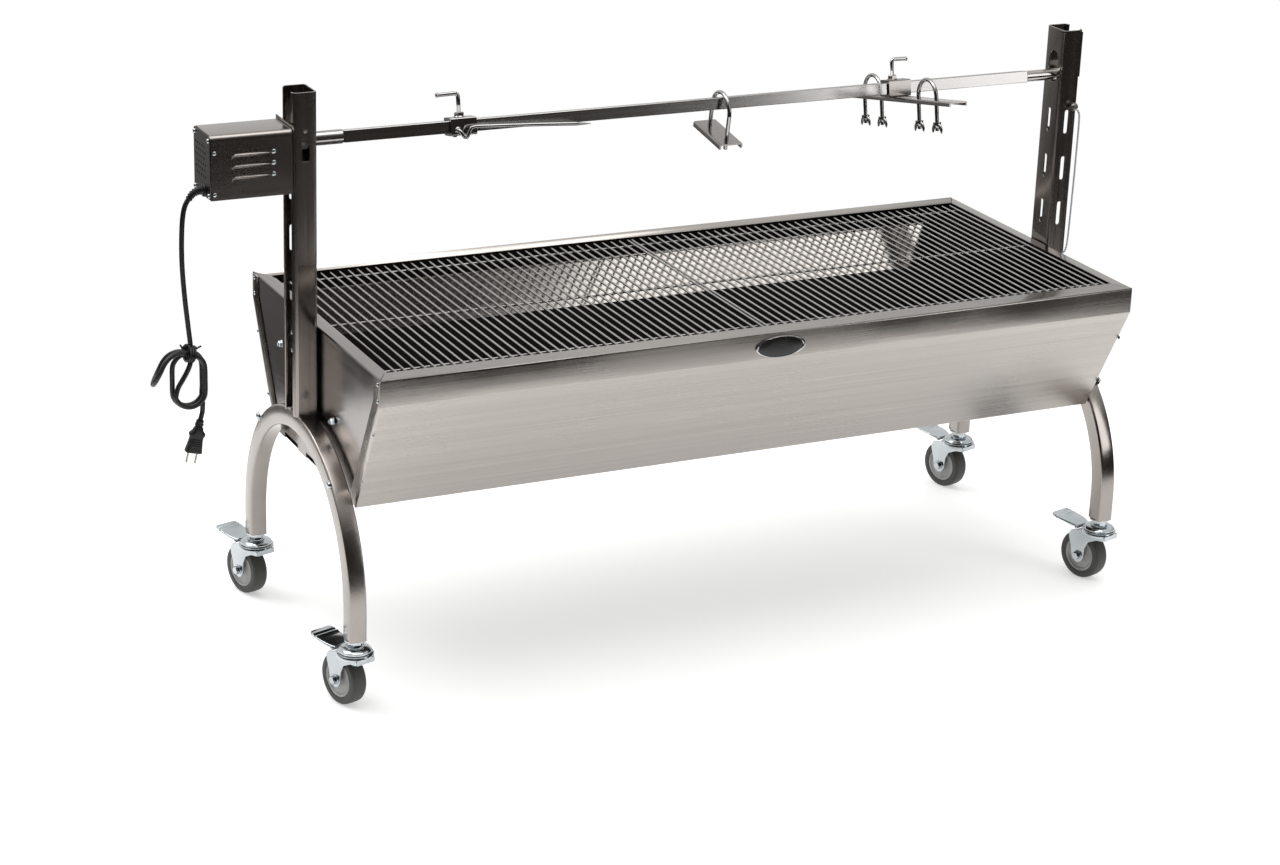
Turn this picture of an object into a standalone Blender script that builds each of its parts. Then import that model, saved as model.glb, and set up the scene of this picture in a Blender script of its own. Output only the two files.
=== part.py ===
"""Rotisserie spit roaster: a sheet-metal charcoal trough on two arched legs with casters.

A motor box on the left post turns a spit that carries a meat fork, a back brace and a leg brace.
Metres, +Z up. The spit runs along X with the motor at -X, +Y is the back, and the floor is Z = 0.
The design frame has X = 0 at the trough's middle and Y = 0 on the spit. CENTRING then moves the
whole roaster so that its footprint, without the free cord, is centred on the world origin.
"""

import math

import bmesh
import bpy
from mathutils import Euler, Matrix, Vector

GAP = 0.0003
SHEET = 0.0012

# The left end plate and the spit's end are outermost along X, the badge and the pedals along Y.
CENTRING = Vector((0.05665, -0.01577, 0))

# Trough
RIM_Z = 0.494
TROUGH_HALF_LENGTH = 0.597
TROUGH_HALF_WIDTH = 0.258
FASCIA_HEIGHT = 0.038
BASE_HALF_WIDTH = 0.166
TROUGH_DEPTH = 0.2145
RIM_LIP = 0.030
END_LIP = 0.019
CORNER_TAB = 0.025
BOTTOM_FLANGE = 0.015
END_VENTS = ((-0.110, -0.054), (-0.018, 0.035), (0.069, 0.124))
VENT_HEIGHT = 0.006

# Grates
RODS_PER_GRATE = 41
ROD_SIZE = 0.004
GRATE_TOP = RIM_Z - 0.0024
GRATE_HALF_LENGTH = 0.576
CROSS_BARS = (-0.2235, 0.0, 0.2235)

# Legs and posts
LEG_X = 0.613
ARCH_RADIUS = 0.2075
ARCH_CENTRE_Z = RIM_Z - 0.350
LEG_FOOT_Z = 0.104
LEG_TUBE = (0.025, 0.029)
TUBE_WALL = 0.0015
POST_WEB_X = 0.600
POST_DEPTH = 0.031
POST_HALF_WIDTH = 0.0215
POST_WALL = 0.002
POST_BOTTOM = RIM_Z - 0.1277
POST_TOP = RIM_Z + 0.336
SLOT_HEIGHTS = (RIM_Z + 0.049, RIM_Z + 0.121, RIM_Z + 0.194)
SLOT_SIZE = (0.0068, 0.037)
FLANGE_SLOT_X = 0.0145

# Spit and what it carries
SPIT_Z = RIM_Z + 0.2645
SPIT_TILT = math.radians(-10.8)
SPIT_BAR = (-0.554, 0.549)
SPIT_SIDE = 0.017
SPIT_END_X = 0.640
SPIT_END_RADIUS = 0.0084
DRIVE_END_X = -0.624
DRIVE_END_RADIUS = 0.010
COLLAR_OUTER = 0.025
COLLAR_INNER = 0.0178
SCREW_RADIUS = 0.0035
FORK_COLLAR = (-0.398, -0.359)
FORK_SCREW_X = -0.380
LEG_COLLAR = (0.303, 0.340)
LEG_BAR_X = 0.3215
LEG_BAR_WIDTH = 0.030
LEG_BAR_LENGTH = 0.350
LEG_BAR_TOP = -0.0122
LEG_SCREW_X = 0.316
LEG_UBOLT_Y = {"front": -0.090, "back": 0.068}
UBOLT_RADIUS = 0.003
LEG_UBOLT_SPREAD = 0.025
BRACE_X = 0.030
BRACE_TILT = math.radians(9.3)
BRACE_UBOLT_SPREAD = 0.027
BRACE_PLATE = (0.037, 0.087)
BRACE_PLATE_TOP = -0.0455
CHANNEL_WALL = 0.0025

# Motor box
BOX_X = (-0.752, -0.637)
BOX_HALF_WIDTH = 0.0345
BOX_Z = (RIM_Z + 0.200, RIM_Z + 0.2895)
SWITCH_PLACE = (-0.690, 0.0365, RIM_Z + 0.247)

# Pin that locks the spit end
PIN_PLACE = (0.621, 0.0, RIM_Z + 0.219)

# Casters
STEM_Y = 0.2075
CASTER_TURN = math.radians(106)
TRAIL = 0.025
WHEEL_RADIUS = 0.038
WHEEL_STEPS = 24
AXLE_Z = WHEEL_RADIUS * math.cos(math.pi / WHEEL_STEPS)
AXLE_RADIUS = 0.004
PEDAL_HINGE = (0.032, 0.0, 0.0815)

# Free cord, in the plane CORD_Y: X and the height above the rim
CORD_Y = -0.007
CORD_RADIUS = 0.0035
GLAND_ROUTE = ((-0.7538, 0.2088), (-0.7610, 0.2088), (-0.7690, 0.2048), (-0.7748, 0.1980))
GLAND_RADII = (0.0068, 0.0060, 0.0050, 0.0042)
CORD_ROUTE = (
    (-0.7755, 0.1972),
    (-0.7795, 0.1905),
    (-0.7825, 0.1800),
    (-0.7845, 0.1650),
    (-0.7857, 0.1420),
    (-0.7860, 0.1170),
    (-0.7853, 0.0950),
    (-0.7840, 0.0740),
    (-0.7821, 0.0500),
    (-0.7800, 0.0290),
    (-0.7782, 0.0110),
    (-0.7768, -0.0020),
    (-0.7762, -0.0120),
)
TAIL_ROUTE = (
    (-0.7612, -0.0895),
    (-0.7604, -0.0960),
    (-0.7604, -0.1030),
    (-0.7617, -0.1100),
    (-0.7640, -0.1180),
)
HANK_TOP = -0.0123
PLUG_PLACE = (-0.76415, CORD_Y, RIM_Z - 0.1184)
PLUG_TILT = math.radians(13.8)


def clear_scene():
    for obj in list(bpy.data.objects):
        bpy.data.objects.remove(obj, do_unlink=True)


def new_collection(name):
    collection = bpy.data.collections.new(name)
    bpy.context.scene.collection.children.link(collection)
    return collection


clear_scene()
PARTS = new_collection("rotisserie_spit_roaster")
CUTTERS = new_collection("cutters")


def finish(name, colour, roughness, metallic):
    made = bpy.data.materials.new(name)
    made.use_nodes = True
    shader = made.node_tree.nodes["Principled BSDF"]
    shader.inputs["Base Color"].default_value = (*colour, 1)
    shader.inputs["Roughness"].default_value = roughness
    shader.inputs["Metallic"].default_value = metallic
    return made


FINISHES = {
    "brushed": ((0.60, 0.57, 0.55), 0.32, 1.0),
    "polished": ((0.66, 0.65, 0.64), 0.16, 1.0),
    "post": ((0.34, 0.31, 0.29), 0.22, 1.0),
    "zinc": ((0.67, 0.72, 0.75), 0.28, 1.0),
    "dark_steel": ((0.20, 0.20, 0.20), 0.45, 1.0),
    "rubber": ((0.03, 0.03, 0.03), 0.55, 0.0),
    "wheel": ((0.12, 0.12, 0.12), 0.6, 0.0),
    "plastic": ((0.015, 0.015, 0.015), 0.4, 0.0),
    "badge": ((0.02, 0.02, 0.02), 0.3, 0.2),
    "brass": ((0.75, 0.62, 0.35), 0.3, 1.0),
}


def empty(name, place, turn=(0, 0, 0), parent=None):
    made = bpy.data.objects.new(name, None)
    made.location = place
    made.rotation_euler = Euler(turn)
    made.parent = parent
    PARTS.objects.link(made)
    return made


ROASTER = empty("roaster", CENTRING)


def add(name, data, kind, origin=(0, 0, 0), turn=(0, 0, 0), parent=ROASTER):
    """One node: its origin is given in the parent's frame, and data is drawn about it."""
    made = bpy.data.objects.new(name, data)
    made.location = origin
    made.rotation_euler = Euler(turn)
    made.parent = parent
    made.data.materials.append(finish(name + "_finish", *FINISHES[kind]))
    PARTS.objects.link(made)
    return made


def moved(mesh, place=(0, 0, 0), turn=(0, 0, 0)):
    mesh.transform(Matrix.Translation(place) @ Euler(turn).to_matrix().to_4x4())
    return mesh


FACING_X = (math.pi / 2, 0, math.pi / 2)  # drawn x, y and depth become Y, Z and X
FACING_Y = (math.pi / 2, 0, 0)  # drawn x, y and depth become X, Z and -Y


def box(low, high):
    bm = bmesh.new()
    bmesh.ops.create_cube(bm, size=1)
    size = Vector(high) - Vector(low)
    bmesh.ops.scale(bm, vec=size, verts=bm.verts)
    bmesh.ops.translate(bm, vec=(Vector(high) + Vector(low)) / 2, verts=bm.verts)
    return written(bm)


def written(bm):
    mesh = bpy.data.meshes.new("shape")
    bm.to_mesh(mesh)
    bm.free()
    return mesh


def cylinder(radius, low, high, segments=12, turn=(0, 0, 0), place=(0, 0, 0)):
    """A cylinder along the local Z axis from low to high, then turned and put in place."""
    bm = bmesh.new()
    bmesh.ops.create_cone(
        bm, cap_ends=True, segments=segments, radius1=radius, radius2=radius, depth=high - low
    )
    spin = math.pi / segments
    bmesh.ops.rotate(bm, verts=bm.verts, matrix=Matrix.Rotation(spin, 3, "Z"))
    bmesh.ops.translate(bm, vec=(0, 0, (low + high) / 2), verts=bm.verts)
    return moved(written(bm), place, turn)


def plain_mesh(obj):
    """The evaluated shape of a temporary object as a welded mesh. The object is removed."""
    CUTTERS.objects.link(obj)
    bpy.context.view_layer.update()
    graph = bpy.context.evaluated_depsgraph_get()
    mesh = bpy.data.meshes.new_from_object(obj.evaluated_get(graph))
    bpy.data.objects.remove(obj)
    bm = bmesh.new()
    bm.from_mesh(mesh)
    bmesh.ops.remove_doubles(bm, verts=bm.verts, dist=0.00001)
    bmesh.ops.recalc_face_normals(bm, faces=bm.faces)
    return written(bm)


def plate(outlines, thickness, turn=(0, 0, 0), place=(0, 0, 0)):
    """A flat piece cut to the outlines, those inside another being holes."""
    curve = bpy.data.curves.new("outline", "CURVE")
    curve.dimensions = "2D"
    curve.fill_mode = "BOTH"
    curve.extrude = thickness / 2
    for outline in outlines:
        spline = curve.splines.new("POLY")
        spline.points.add(len(outline) - 1)
        for point, (x, y) in zip(spline.points, outline):
            point.co = (x, y, 0, 1)
        spline.use_cyclic_u = True
    return moved(plain_mesh(bpy.data.objects.new("outline", curve)), place, turn)


def arc(centre, radius, start, end, steps):
    """Points round a centre from one angle to another, in degrees, both ends included."""
    turns = [math.radians(start + (end - start) * step / steps) for step in range(steps + 1)]
    return [(centre[0] + radius * math.cos(t), centre[1] + radius * math.sin(t)) for t in turns]


def rectangle(width, height, centre=(0, 0)):
    x, y = width / 2, height / 2
    corners = ((-x, -y), (x, -y), (x, y), (-x, y))
    return [(centre[0] + a, centre[1] + b) for a, b in corners]


def ring_outline(radius, segments=12, centre=(0, 0)):
    return arc(centre, radius, 0, 360 * (1 - 1 / segments), segments - 1)


def slot_outline(width, height, centre, steps=4):
    """An upright slot with round ends."""
    x, y = centre
    rise = height / 2 - width / 2
    top = arc((x, y + rise), width / 2, 0, 180, steps)
    return top + arc((x, y - rise), width / 2, 180, 360, steps)


def turned(name, profile, kind, steps=16, closed=False, **where):
    """A turned piece about its local Z axis, from (radius, height) points down its outer side."""
    mesh = bpy.data.meshes.new(name)
    edges = [(i, i + 1) for i in range(len(profile) - 1)]
    if closed:
        edges.append((len(profile) - 1, 0))
    mesh.from_pydata([(radius, 0, height) for radius, height in profile], edges, [])
    made = add(name, mesh, kind, **where)
    screw = made.modifiers.new("turn", "SCREW")
    screw.axis = "Z"
    screw.steps = screw.render_steps = steps
    screw.use_merge_vertices = True
    screw.merge_threshold = 0.00001
    return made


def wire_curve(points, radius, sharpness=2, radii=None):
    curve = bpy.data.curves.new("wire", "CURVE")
    curve.dimensions = "3D"
    curve.bevel_depth = radius
    curve.bevel_resolution = sharpness
    curve.use_fill_caps = True
    spline = curve.splines.new("POLY")
    spline.points.add(len(points) - 1)
    for index, point in enumerate(points):
        spline.points[index].co = (*point, 1)
        spline.points[index].radius = radii[index] / radius if radii else 1
    return curve


def wire_mesh(points, radius, radii=None):
    return plain_mesh(bpy.data.objects.new("wire", wire_curve(points, radius, 2, radii)))


def smooth_route(points, spacing):
    """Points about a spacing apart along a smooth curve through the given ones."""
    ends = [2 * points[0] - points[1], *points, 2 * points[-1] - points[-2]]
    route = [points[0]]
    for a, b, c, d in zip(ends, ends[1:], ends[2:], ends[3:]):
        steps = max(1, round((c - b).length / spacing))
        for step in range(1, steps + 1):
            t = step / steps
            route.append(
                0.5
                * (
                    2 * b
                    + (c - a) * t
                    + (2 * a - 5 * b + 4 * c - d) * t * t
                    + (3 * b - 3 * c + d - a) * t**3
                )
            )
    return route


def combine(obj, mesh, operation):
    """Joins a second shape, drawn in the object's own frame, to it or cuts it away."""
    helper = bpy.data.objects.new(obj.name + "_" + operation.lower(), mesh)
    helper.hide_render = True
    helper.display_type = "WIRE"
    helper.parent = obj
    CUTTERS.objects.link(helper)
    change = obj.modifiers.new(operation.lower(), "BOOLEAN")
    change.operation = operation
    change.solver = "EXACT"
    change.object = helper


def join(obj, *meshes):
    for mesh in meshes:
        combine(obj, mesh, "UNION")


def cut(obj, *meshes):
    for mesh in meshes:
        combine(obj, mesh, "DIFFERENCE")


def thicken(obj, thickness):
    """Gives an open surface whose faces point outwards its wall, on the inner side."""
    wall = obj.modifiers.new("wall", "SOLIDIFY")
    wall.thickness = thickness
    wall.offset = -1
    wall.use_even_offset = True
    wall.use_quality_normals = True


def swept(rings, closed_ring=True):
    """An open surface through successive rings of points."""
    bm = bmesh.new()
    rows = [[bm.verts.new(point) for point in ring] for ring in rings]
    count = len(rings[0])
    for one, two in zip(rows, rows[1:]):
        for i in range(count if closed_ring else count - 1):
            j = (i + 1) % count
            bm.faces.new((one[i], one[j], two[j], two[i]))
    return written(bm)


def offset_line(points, distance):
    """An outline moved sideways, to the left of its direction, with its corners kept sharp."""
    result = []
    for i, point in enumerate(points):
        directions = []
        if i > 0:
            directions.append((point - points[i - 1]).normalized())
        if i < len(points) - 1:
            directions.append((points[i + 1] - point).normalized())
        normals = [Vector((-d.y, d.x)) for d in directions]
        bisector = sum(normals, Vector((0, 0))).normalized()
        result.append(point + bisector * (distance / bisector.dot(normals[0])))
    return result


def wall_line():
    """The front wall in Y and Z, from its rim down the fascia and the slope to the base."""
    return [
        Vector((-TROUGH_HALF_WIDTH, RIM_Z)),
        Vector((-TROUGH_HALF_WIDTH, RIM_Z - FASCIA_HEIGHT)),
        Vector((-BASE_HALF_WIDTH, RIM_Z - TROUGH_DEPTH)),
    ]


def side_panel_mesh():
    """The front wall as one bent sheet: rim lip, fascia, slope and bottom flange."""
    wall = wall_line()
    lip = Vector((-TROUGH_HALF_WIDTH + RIM_LIP, RIM_Z))
    flange = wall[-1] + Vector((BOTTOM_FLANGE, 0))
    section = [lip, *wall, flange]
    shoulder = TROUGH_HALF_LENGTH - END_LIP
    wall_end = TROUGH_HALF_LENGTH - SHEET - 3 * GAP
    halves = [shoulder] + [wall_end] * len(wall) + [TROUGH_HALF_LENGTH - 0.005]
    bm = bmesh.new()
    left = [bm.verts.new((-half, y, z)) for half, (y, z) in zip(halves, section)]
    right = [bm.verts.new((half, y, z)) for half, (y, z) in zip(halves, section)]
    for i in range(len(section) - 1):
        bm.faces.new((left[i], left[i + 1], right[i + 1], right[i]))
    return written(bm)


def end_panel_mesh():
    """The left end wall: a sheet between the side walls, with vents and a rim lip."""
    x = -TROUGH_HALF_LENGTH + SHEET + GAP
    inner = offset_line(wall_line(), SHEET + GAP)
    base_z = RIM_Z - TROUGH_DEPTH + SHEET + GAP
    slope = (inner[2] - inner[1]).normalized()
    foot = inner[1] + slope * ((base_z - inner[1].y) / slope.y)
    half_top = TROUGH_HALF_WIDTH - 0.0045
    front = [(-half_top, RIM_Z), (inner[0].x, RIM_Z - 0.0018), tuple(inner[1]), tuple(foot)]
    vents = []
    for low, high in END_VENTS:
        top = base_z + VENT_HEIGHT
        vents += [(low, base_z), (low, top), (high, top), (high, base_z)]
    back = [(-y, z) for y, z in reversed(front)]
    outline = front + vents + back
    bm = bmesh.new()
    ring = [bm.verts.new((x, y, z)) for y, z in outline]
    bm.faces.new(ring[::-1])
    lip_x = -TROUGH_HALF_LENGTH + END_LIP
    lip_half = TROUGH_HALF_WIDTH - RIM_LIP - 0.0018
    lip = [bm.verts.new((lip_x, y, RIM_Z)) for y in (-lip_half, lip_half)]
    bm.faces.new((ring[0], lip[0], lip[1], ring[-1]))
    return written(bm)


def corner_tabs_mesh():
    """The riveted strips outside the left end wall, which cover the ends of the side walls."""
    wall = wall_line()
    strip = [tuple(point) for point in (*wall, *reversed(offset_line(wall, CORNER_TAB)))]
    mirrored = [(-y, z) for y, z in reversed(strip)]
    depth = SHEET + 2 * GAP
    return plate([strip, mirrored], depth, FACING_X, (-TROUGH_HALF_LENGTH + depth / 2, 0, 0))


def grate_mesh(low, high):
    """Square rods along Y on cross bars, as one barred sheet between two places along X."""
    half = ROD_SIZE / 2
    pitch = (high - low - ROD_SIZE) / (RODS_PER_GRATE - 1)
    rods = [low + half + pitch * i for i in range(RODS_PER_GRATE)]
    xs = [edge for rod in rods for edge in (rod - half, rod + half)]
    ys = [edge for bar in CROSS_BARS for edge in (bar - half, bar + half)]
    bm = bmesh.new()
    grid = [[bm.verts.new((x, y, GRATE_TOP)) for y in ys] for x in xs]
    for i in range(len(xs) - 1):
        for j in range(len(ys) - 1):
            is_rod, is_bar = i % 2 == 0, j % 2 == 0
            if is_rod or is_bar:
                bm.faces.new((grid[i][j], grid[i + 1][j], grid[i + 1][j + 1], grid[i][j + 1]))
    return written(bm)


def build_trough():
    for name, turn in (("front_panel", 0), ("back_panel", math.pi)):
        panel = add(name, side_panel_mesh(), "brushed", turn=(0, 0, turn))
        thicken(panel, SHEET)
    for name, turn in (("left_end_panel", 0), ("right_end_panel", math.pi)):
        panel = add(name, end_panel_mesh(), "brushed", turn=(0, 0, turn))
        thicken(panel, SHEET)
        join(panel, corner_tabs_mesh())
    floor_z = RIM_Z - TROUGH_DEPTH + SHEET + GAP
    floor_mesh = box((-0.5935, -0.1645, floor_z), (0.5935, 0.1645, floor_z + SHEET))
    add("bottom_panel", floor_mesh, "brushed")
    build_tray(floor_z + SHEET + GAP)
    for name, low, high in (
        ("grate_left", -GRATE_HALF_LENGTH, -0.0015),
        ("grate_right", 0.0015, GRATE_HALF_LENGTH),
    ):
        thicken(add(name, grate_mesh(low, high), "polished"), ROD_SIZE)
    badge = cylinder(1, 0, 1, 24)
    badge.transform(Matrix.Diagonal((0.040, 0.0165, 0.002, 1)))
    face = -TROUGH_HALF_WIDTH - GAP
    add("badge", badge, "badge", (0.0036, face, RIM_Z - 0.0214), (math.pi / 2, 0, 0))


def build_tray(low):
    """The charcoal tray: an open pan that lies on the bottom panel."""
    bm = bmesh.new()
    bmesh.ops.create_cube(bm, size=1)
    bmesh.ops.delete(bm, geom=[f for f in bm.faces if f.normal.z > 0.5], context="FACES_ONLY")
    bmesh.ops.scale(bm, vec=(1.120, 0.300, 0.028), verts=bm.verts)
    bmesh.ops.translate(bm, vec=(0, 0, low + 0.014), verts=bm.verts)
    thicken(add("charcoal_tray", written(bm), "dark_steel"), SHEET)


def arch_mesh():
    """The square tube of one leg arch, along its centre line in Y and Z."""
    half_x, half_r = LEG_TUBE[0] / 2, LEG_TUBE[1] / 2
    rings = []
    inner = arc((0, ARCH_CENTRE_Z), ARCH_RADIUS - half_r, 180, 0, 24)
    outer = arc((0, ARCH_CENTRE_Z), ARCH_RADIUS + half_r, 180, 0, 24)
    inner = [(inner[0][0], LEG_FOOT_Z), *inner, (inner[-1][0], LEG_FOOT_Z)]
    outer = [(outer[0][0], LEG_FOOT_Z), *outer, (outer[-1][0], LEG_FOOT_Z)]
    for (y0, z0), (y1, z1) in zip(inner, outer):
        rings.append([(-half_x, y0, z0), (half_x, y0, z0), (half_x, y1, z1), (-half_x, y1, z1)])
    return swept([ring[::-1] for ring in rings])


def post_section():
    """The left post's channel in X and Y, from one lip round to the other."""
    open_x = -POST_WEB_X - POST_DEPTH
    side = POST_HALF_WIDTH
    front = [
        (open_x, -side + 0.0065),
        (open_x + 0.0015, -side + 0.0027),
        (open_x + 0.0055, -side),
        (-POST_WEB_X, -side),
    ]
    return front + [(x, -y) for x, y in reversed(front)]


def build_post(name, turn):
    section = post_section()
    rings = [[(x, y, z) for x, y in section] for z in (POST_BOTTOM, POST_TOP)]
    post = add(name, swept(rings, closed_ring=False), "post", turn=(0, 0, turn))
    thicken(post, POST_WALL)
    web_slots = [slot_outline(*SLOT_SIZE, (0, z)) for z in SLOT_HEIGHTS]
    hole_z = SPIT_Z + 0.0125
    web_slots.append(slot_outline(0.0240, 0.0490, (0, hole_z), 6))
    cut(post, plate(web_slots, 0.012, FACING_X, (-POST_WEB_X, 0, 0)))
    return post


def build_posts():
    left = build_post("left_post", 0)
    flange_y = -POST_HALF_WIDTH
    window = rectangle(0.011, 0.030, (-0.6145, RIM_Z + 0.255))
    dot = ring_outline(0.0025, 8, (-0.6145, RIM_Z + 0.282))
    cut(left, plate([window, dot], 0.012, FACING_Y, (0, flange_y, 0)))
    right = build_post("right_post", math.pi)
    # The right post is turned half round, so its front flange is at +Y in its own frame.
    slot_x = -POST_WEB_X - FLANGE_SLOT_X
    slots = [slot_outline(*SLOT_SIZE, (slot_x, z)) for z in SLOT_HEIGHTS]
    both = 2 * POST_HALF_WIDTH + 0.012
    cut(right, plate(slots, both, FACING_Y))
    pin_hole = ring_outline(0.0036, 10, (-PIN_PLACE[0], PIN_PLACE[2]))
    cut(right, plate([pin_hole], 0.012, FACING_Y, (0, -flange_y, 0)))


def build_legs():
    for name, x in (("left_leg_arch", -LEG_X), ("right_leg_arch", LEG_X)):
        thicken(add(name, arch_mesh(), "brushed", (x, 0, 0)), TUBE_WALL)
    build_posts()


def build_motor():
    low, high = BOX_Z
    side, corner = BOX_HALF_WIDTH, 0.008
    section = [(side, low), *arc((side - corner, high - corner), corner, 0, 90, 4)]
    section += [*arc((-side + corner, high - corner), corner, 90, 180, 4), (-side, low)]
    rings = [[(x, y, z) for y, z in section] for x in BOX_X]
    housing = add("motor_housing", swept(rings), "post")
    thicken(housing, SHEET)
    outer, inner = BOX_X[0] - 0.0013, BOX_X[0] - GAP
    end = box((outer, -0.0335, low + 0.001), (inner, 0.0335, high - 0.001))
    add("motor_end_plate", end, "post")
    folded = [
        (-0.6367, RIM_Z + 0.294),
        (-0.6367, RIM_Z + 0.203),
        (-0.6313, RIM_Z + 0.203),
        (-0.6313, RIM_Z + 0.290),
        (-0.6328, RIM_Z + 0.290),
        (-0.6328, RIM_Z + 0.2045),
        (-0.6352, RIM_Z + 0.2045),
        (-0.6352, RIM_Z + 0.294),
    ]
    bracket = add("motor_bracket", plate([folded], 0.072, FACING_Y), "post")
    along_x = (0, math.pi / 2, 0)
    cut(bracket, cylinder(0.009, -0.650, -0.620, 12, along_x, (0, 0, SPIT_Z)))
    gearbox = box((-0.666, -0.027, low + 0.014), (-0.6425, 0.027, high - 0.003))
    motor = add("gearmotor", gearbox, "dark_steel")
    join(motor, cylinder(0.021, -0.730, -0.660, 12, along_x, (0, 0, low + 0.038)))
    rocker = [(-0.0016, 0), (-0.0005, 0.0065), (0.0020, 0.0065), (0.0008, 0)]
    rocker += [(0.0020, -0.0065), (-0.0005, -0.0065)]
    add("rocker_switch", plate([rocker], 0.019, FACING_X), "plastic", SWITCH_PLACE)
    cup = [
        (0, -0.6270),
        (0.0104, -0.6270),
        (0.0104, -0.6060),
        (0.0130, -0.6060),
        (0.0130, -0.6295),
        (0.0050, -0.6295),
        (0.0050, -0.6420),
        (0, -0.6420),
    ]
    turned("drive_coupler", cup, "dark_steel", 16, origin=(0, 0, SPIT_Z), turn=(0, math.pi / 2, 0))


def collar(span):
    """A square sleeve on the spit between two places along X, about the spit's axis."""
    outlines = [rectangle(COLLAR_OUTER, COLLAR_OUTER), rectangle(COLLAR_INNER, COLLAR_INNER)]
    middle = (span[0] + span[1]) / 2
    return middle, plate(outlines, span[1] - span[0], FACING_X)


def clamp_hole(x):
    return cylinder(SCREW_RADIUS + GAP, 0.004, 0.020, 12, place=(x, 0, 0))


def clamp_screw(name, x, rise, reach, parent):
    """An L-shaped clamp screw standing on the bar, its arm pointing along X by reach."""
    side = math.copysign(1, reach)
    low = SPIT_SIDE / 2 + GAP
    points = [
        (0, 0, low),
        (0, 0, rise - 0.0075),
        (0.0015 * side, 0, rise - 0.003),
        (0.006 * side, 0, rise - 0.001),
        (reach, 0, rise),
    ]
    add(name, wire_curve(points, SCREW_RADIUS), "polished", (x, 0, 0), parent=parent)


def prong_points(side):
    """One prong of the meat fork, from the collar's wall through its V bend to the tip."""
    place = [
        (-0.386, -0.0102, -0.0040),
        (-0.386, -0.0190, -0.0060),
        (-0.379, -0.0215, -0.0160),
        (-0.371, -0.0250, -0.0030),
        (-0.363, -0.0275, 0.0050),
        (-0.270, -0.0325, -0.0020),
        (-0.194, -0.0362, -0.0087),
        (-0.182, -0.0368, -0.0096),
    ]
    return [Vector((x, side * y, z)) for x, y, z in place]


def ubolt_points(spread, arc_z, foot_z):
    """A U-bolt in the Y-Z plane: two legs and a half circle over the top."""
    over = [(0, y, z) for y, z in arc((0, arc_z), spread, 180, 0, 10)]
    return [(0, -spread, foot_z), *over, (0, spread, foot_z)]


def channel_outline(width, depth):
    """An inverted shallow U in X and Z, its top at zero."""
    x, wall = width / 2, CHANNEL_WALL
    return [(-x, -depth), (-x, 0), (x, 0), (x, -depth), (x - wall, -depth), (x - wall, -wall),
            (-x + wall, -wall), (-x + wall, -depth)]


def build_spit(axis):
    side = SPIT_SIDE / 2
    bar = box((SPIT_BAR[0], -side, -side), (SPIT_BAR[1], side, side))
    spit = add("spit_rod", bar, "polished", parent=axis)
    along_x = (0, math.pi / 2, 0)
    join(
        spit,
        cylinder(DRIVE_END_RADIUS, DRIVE_END_X, SPIT_BAR[0] + 0.002, 16, along_x),
        cylinder(SPIT_END_RADIUS, SPIT_BAR[1] - 0.010, SPIT_END_X, 16, along_x),
    )


def build_fork(axis):
    middle, sleeve = collar(FORK_COLLAR)
    fork = add("meat_fork", sleeve, "polished", (middle, 0, 0), parent=axis)
    for side in (-1, 1):
        points = [point - Vector((middle, 0, 0)) for point in prong_points(-side)]
        radii = [0.0035] * (len(points) - 1) + [0.001]
        join(fork, wire_mesh(points, 0.0035, radii))
    cut(fork, clamp_hole(FORK_SCREW_X - middle))
    clamp_screw("fork_screw", FORK_SCREW_X, 0.0455, -0.032, axis)


def build_back_brace():
    axis = empty("back_brace_axis", (BRACE_X, 0, SPIT_Z), (BRACE_TILT, 0, 0), ROASTER)
    points = ubolt_points(BRACE_UBOLT_SPREAD, -0.0121, -0.0605)
    add("back_brace_ubolt", wire_curve(points, UBOLT_RADIUS), "polished", parent=axis)
    width, length = BRACE_PLATE
    channel = plate([channel_outline(width, 0.008)], length, FACING_Y)
    brace = add("back_brace_plate", channel, "brushed", (0, 0, BRACE_PLATE_TOP), parent=axis)
    hole = UBOLT_RADIUS + GAP
    for name, y in (("front", -BRACE_UBOLT_SPREAD), ("back", BRACE_UBOLT_SPREAD)):
        cut(brace, cylinder(hole, -0.004, 0.002, 12, place=(0, y, 0)))
        nut = plate([ring_outline(0.006, 6), ring_outline(hole, 12)], 0.005)
        seat = BRACE_PLATE_TOP - CHANNEL_WALL - GAP - 0.0025
        add("back_brace_nut_" + name, nut, "zinc", (0, y, seat), parent=axis)


def wing_nut(name, place, parent):
    """A round hub with a bore and two wings that point down and outwards."""
    hub = plate([ring_outline(0.0055, 12), ring_outline(UBOLT_RADIUS + GAP, 12)], 0.008)
    nut = add(name, hub, "polished", place, parent=parent)
    for side in (-1, 1):
        wing = [(0.0046, 0.0030), (0.0080, -0.0010), (0.0125, -0.0095), (0.0110, -0.0125),
                (0.0080, -0.0120), (0.0052, -0.0030)]
        join(nut, plate([[(side * x, z) for x, z in wing]], 0.0026, FACING_X))


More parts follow.
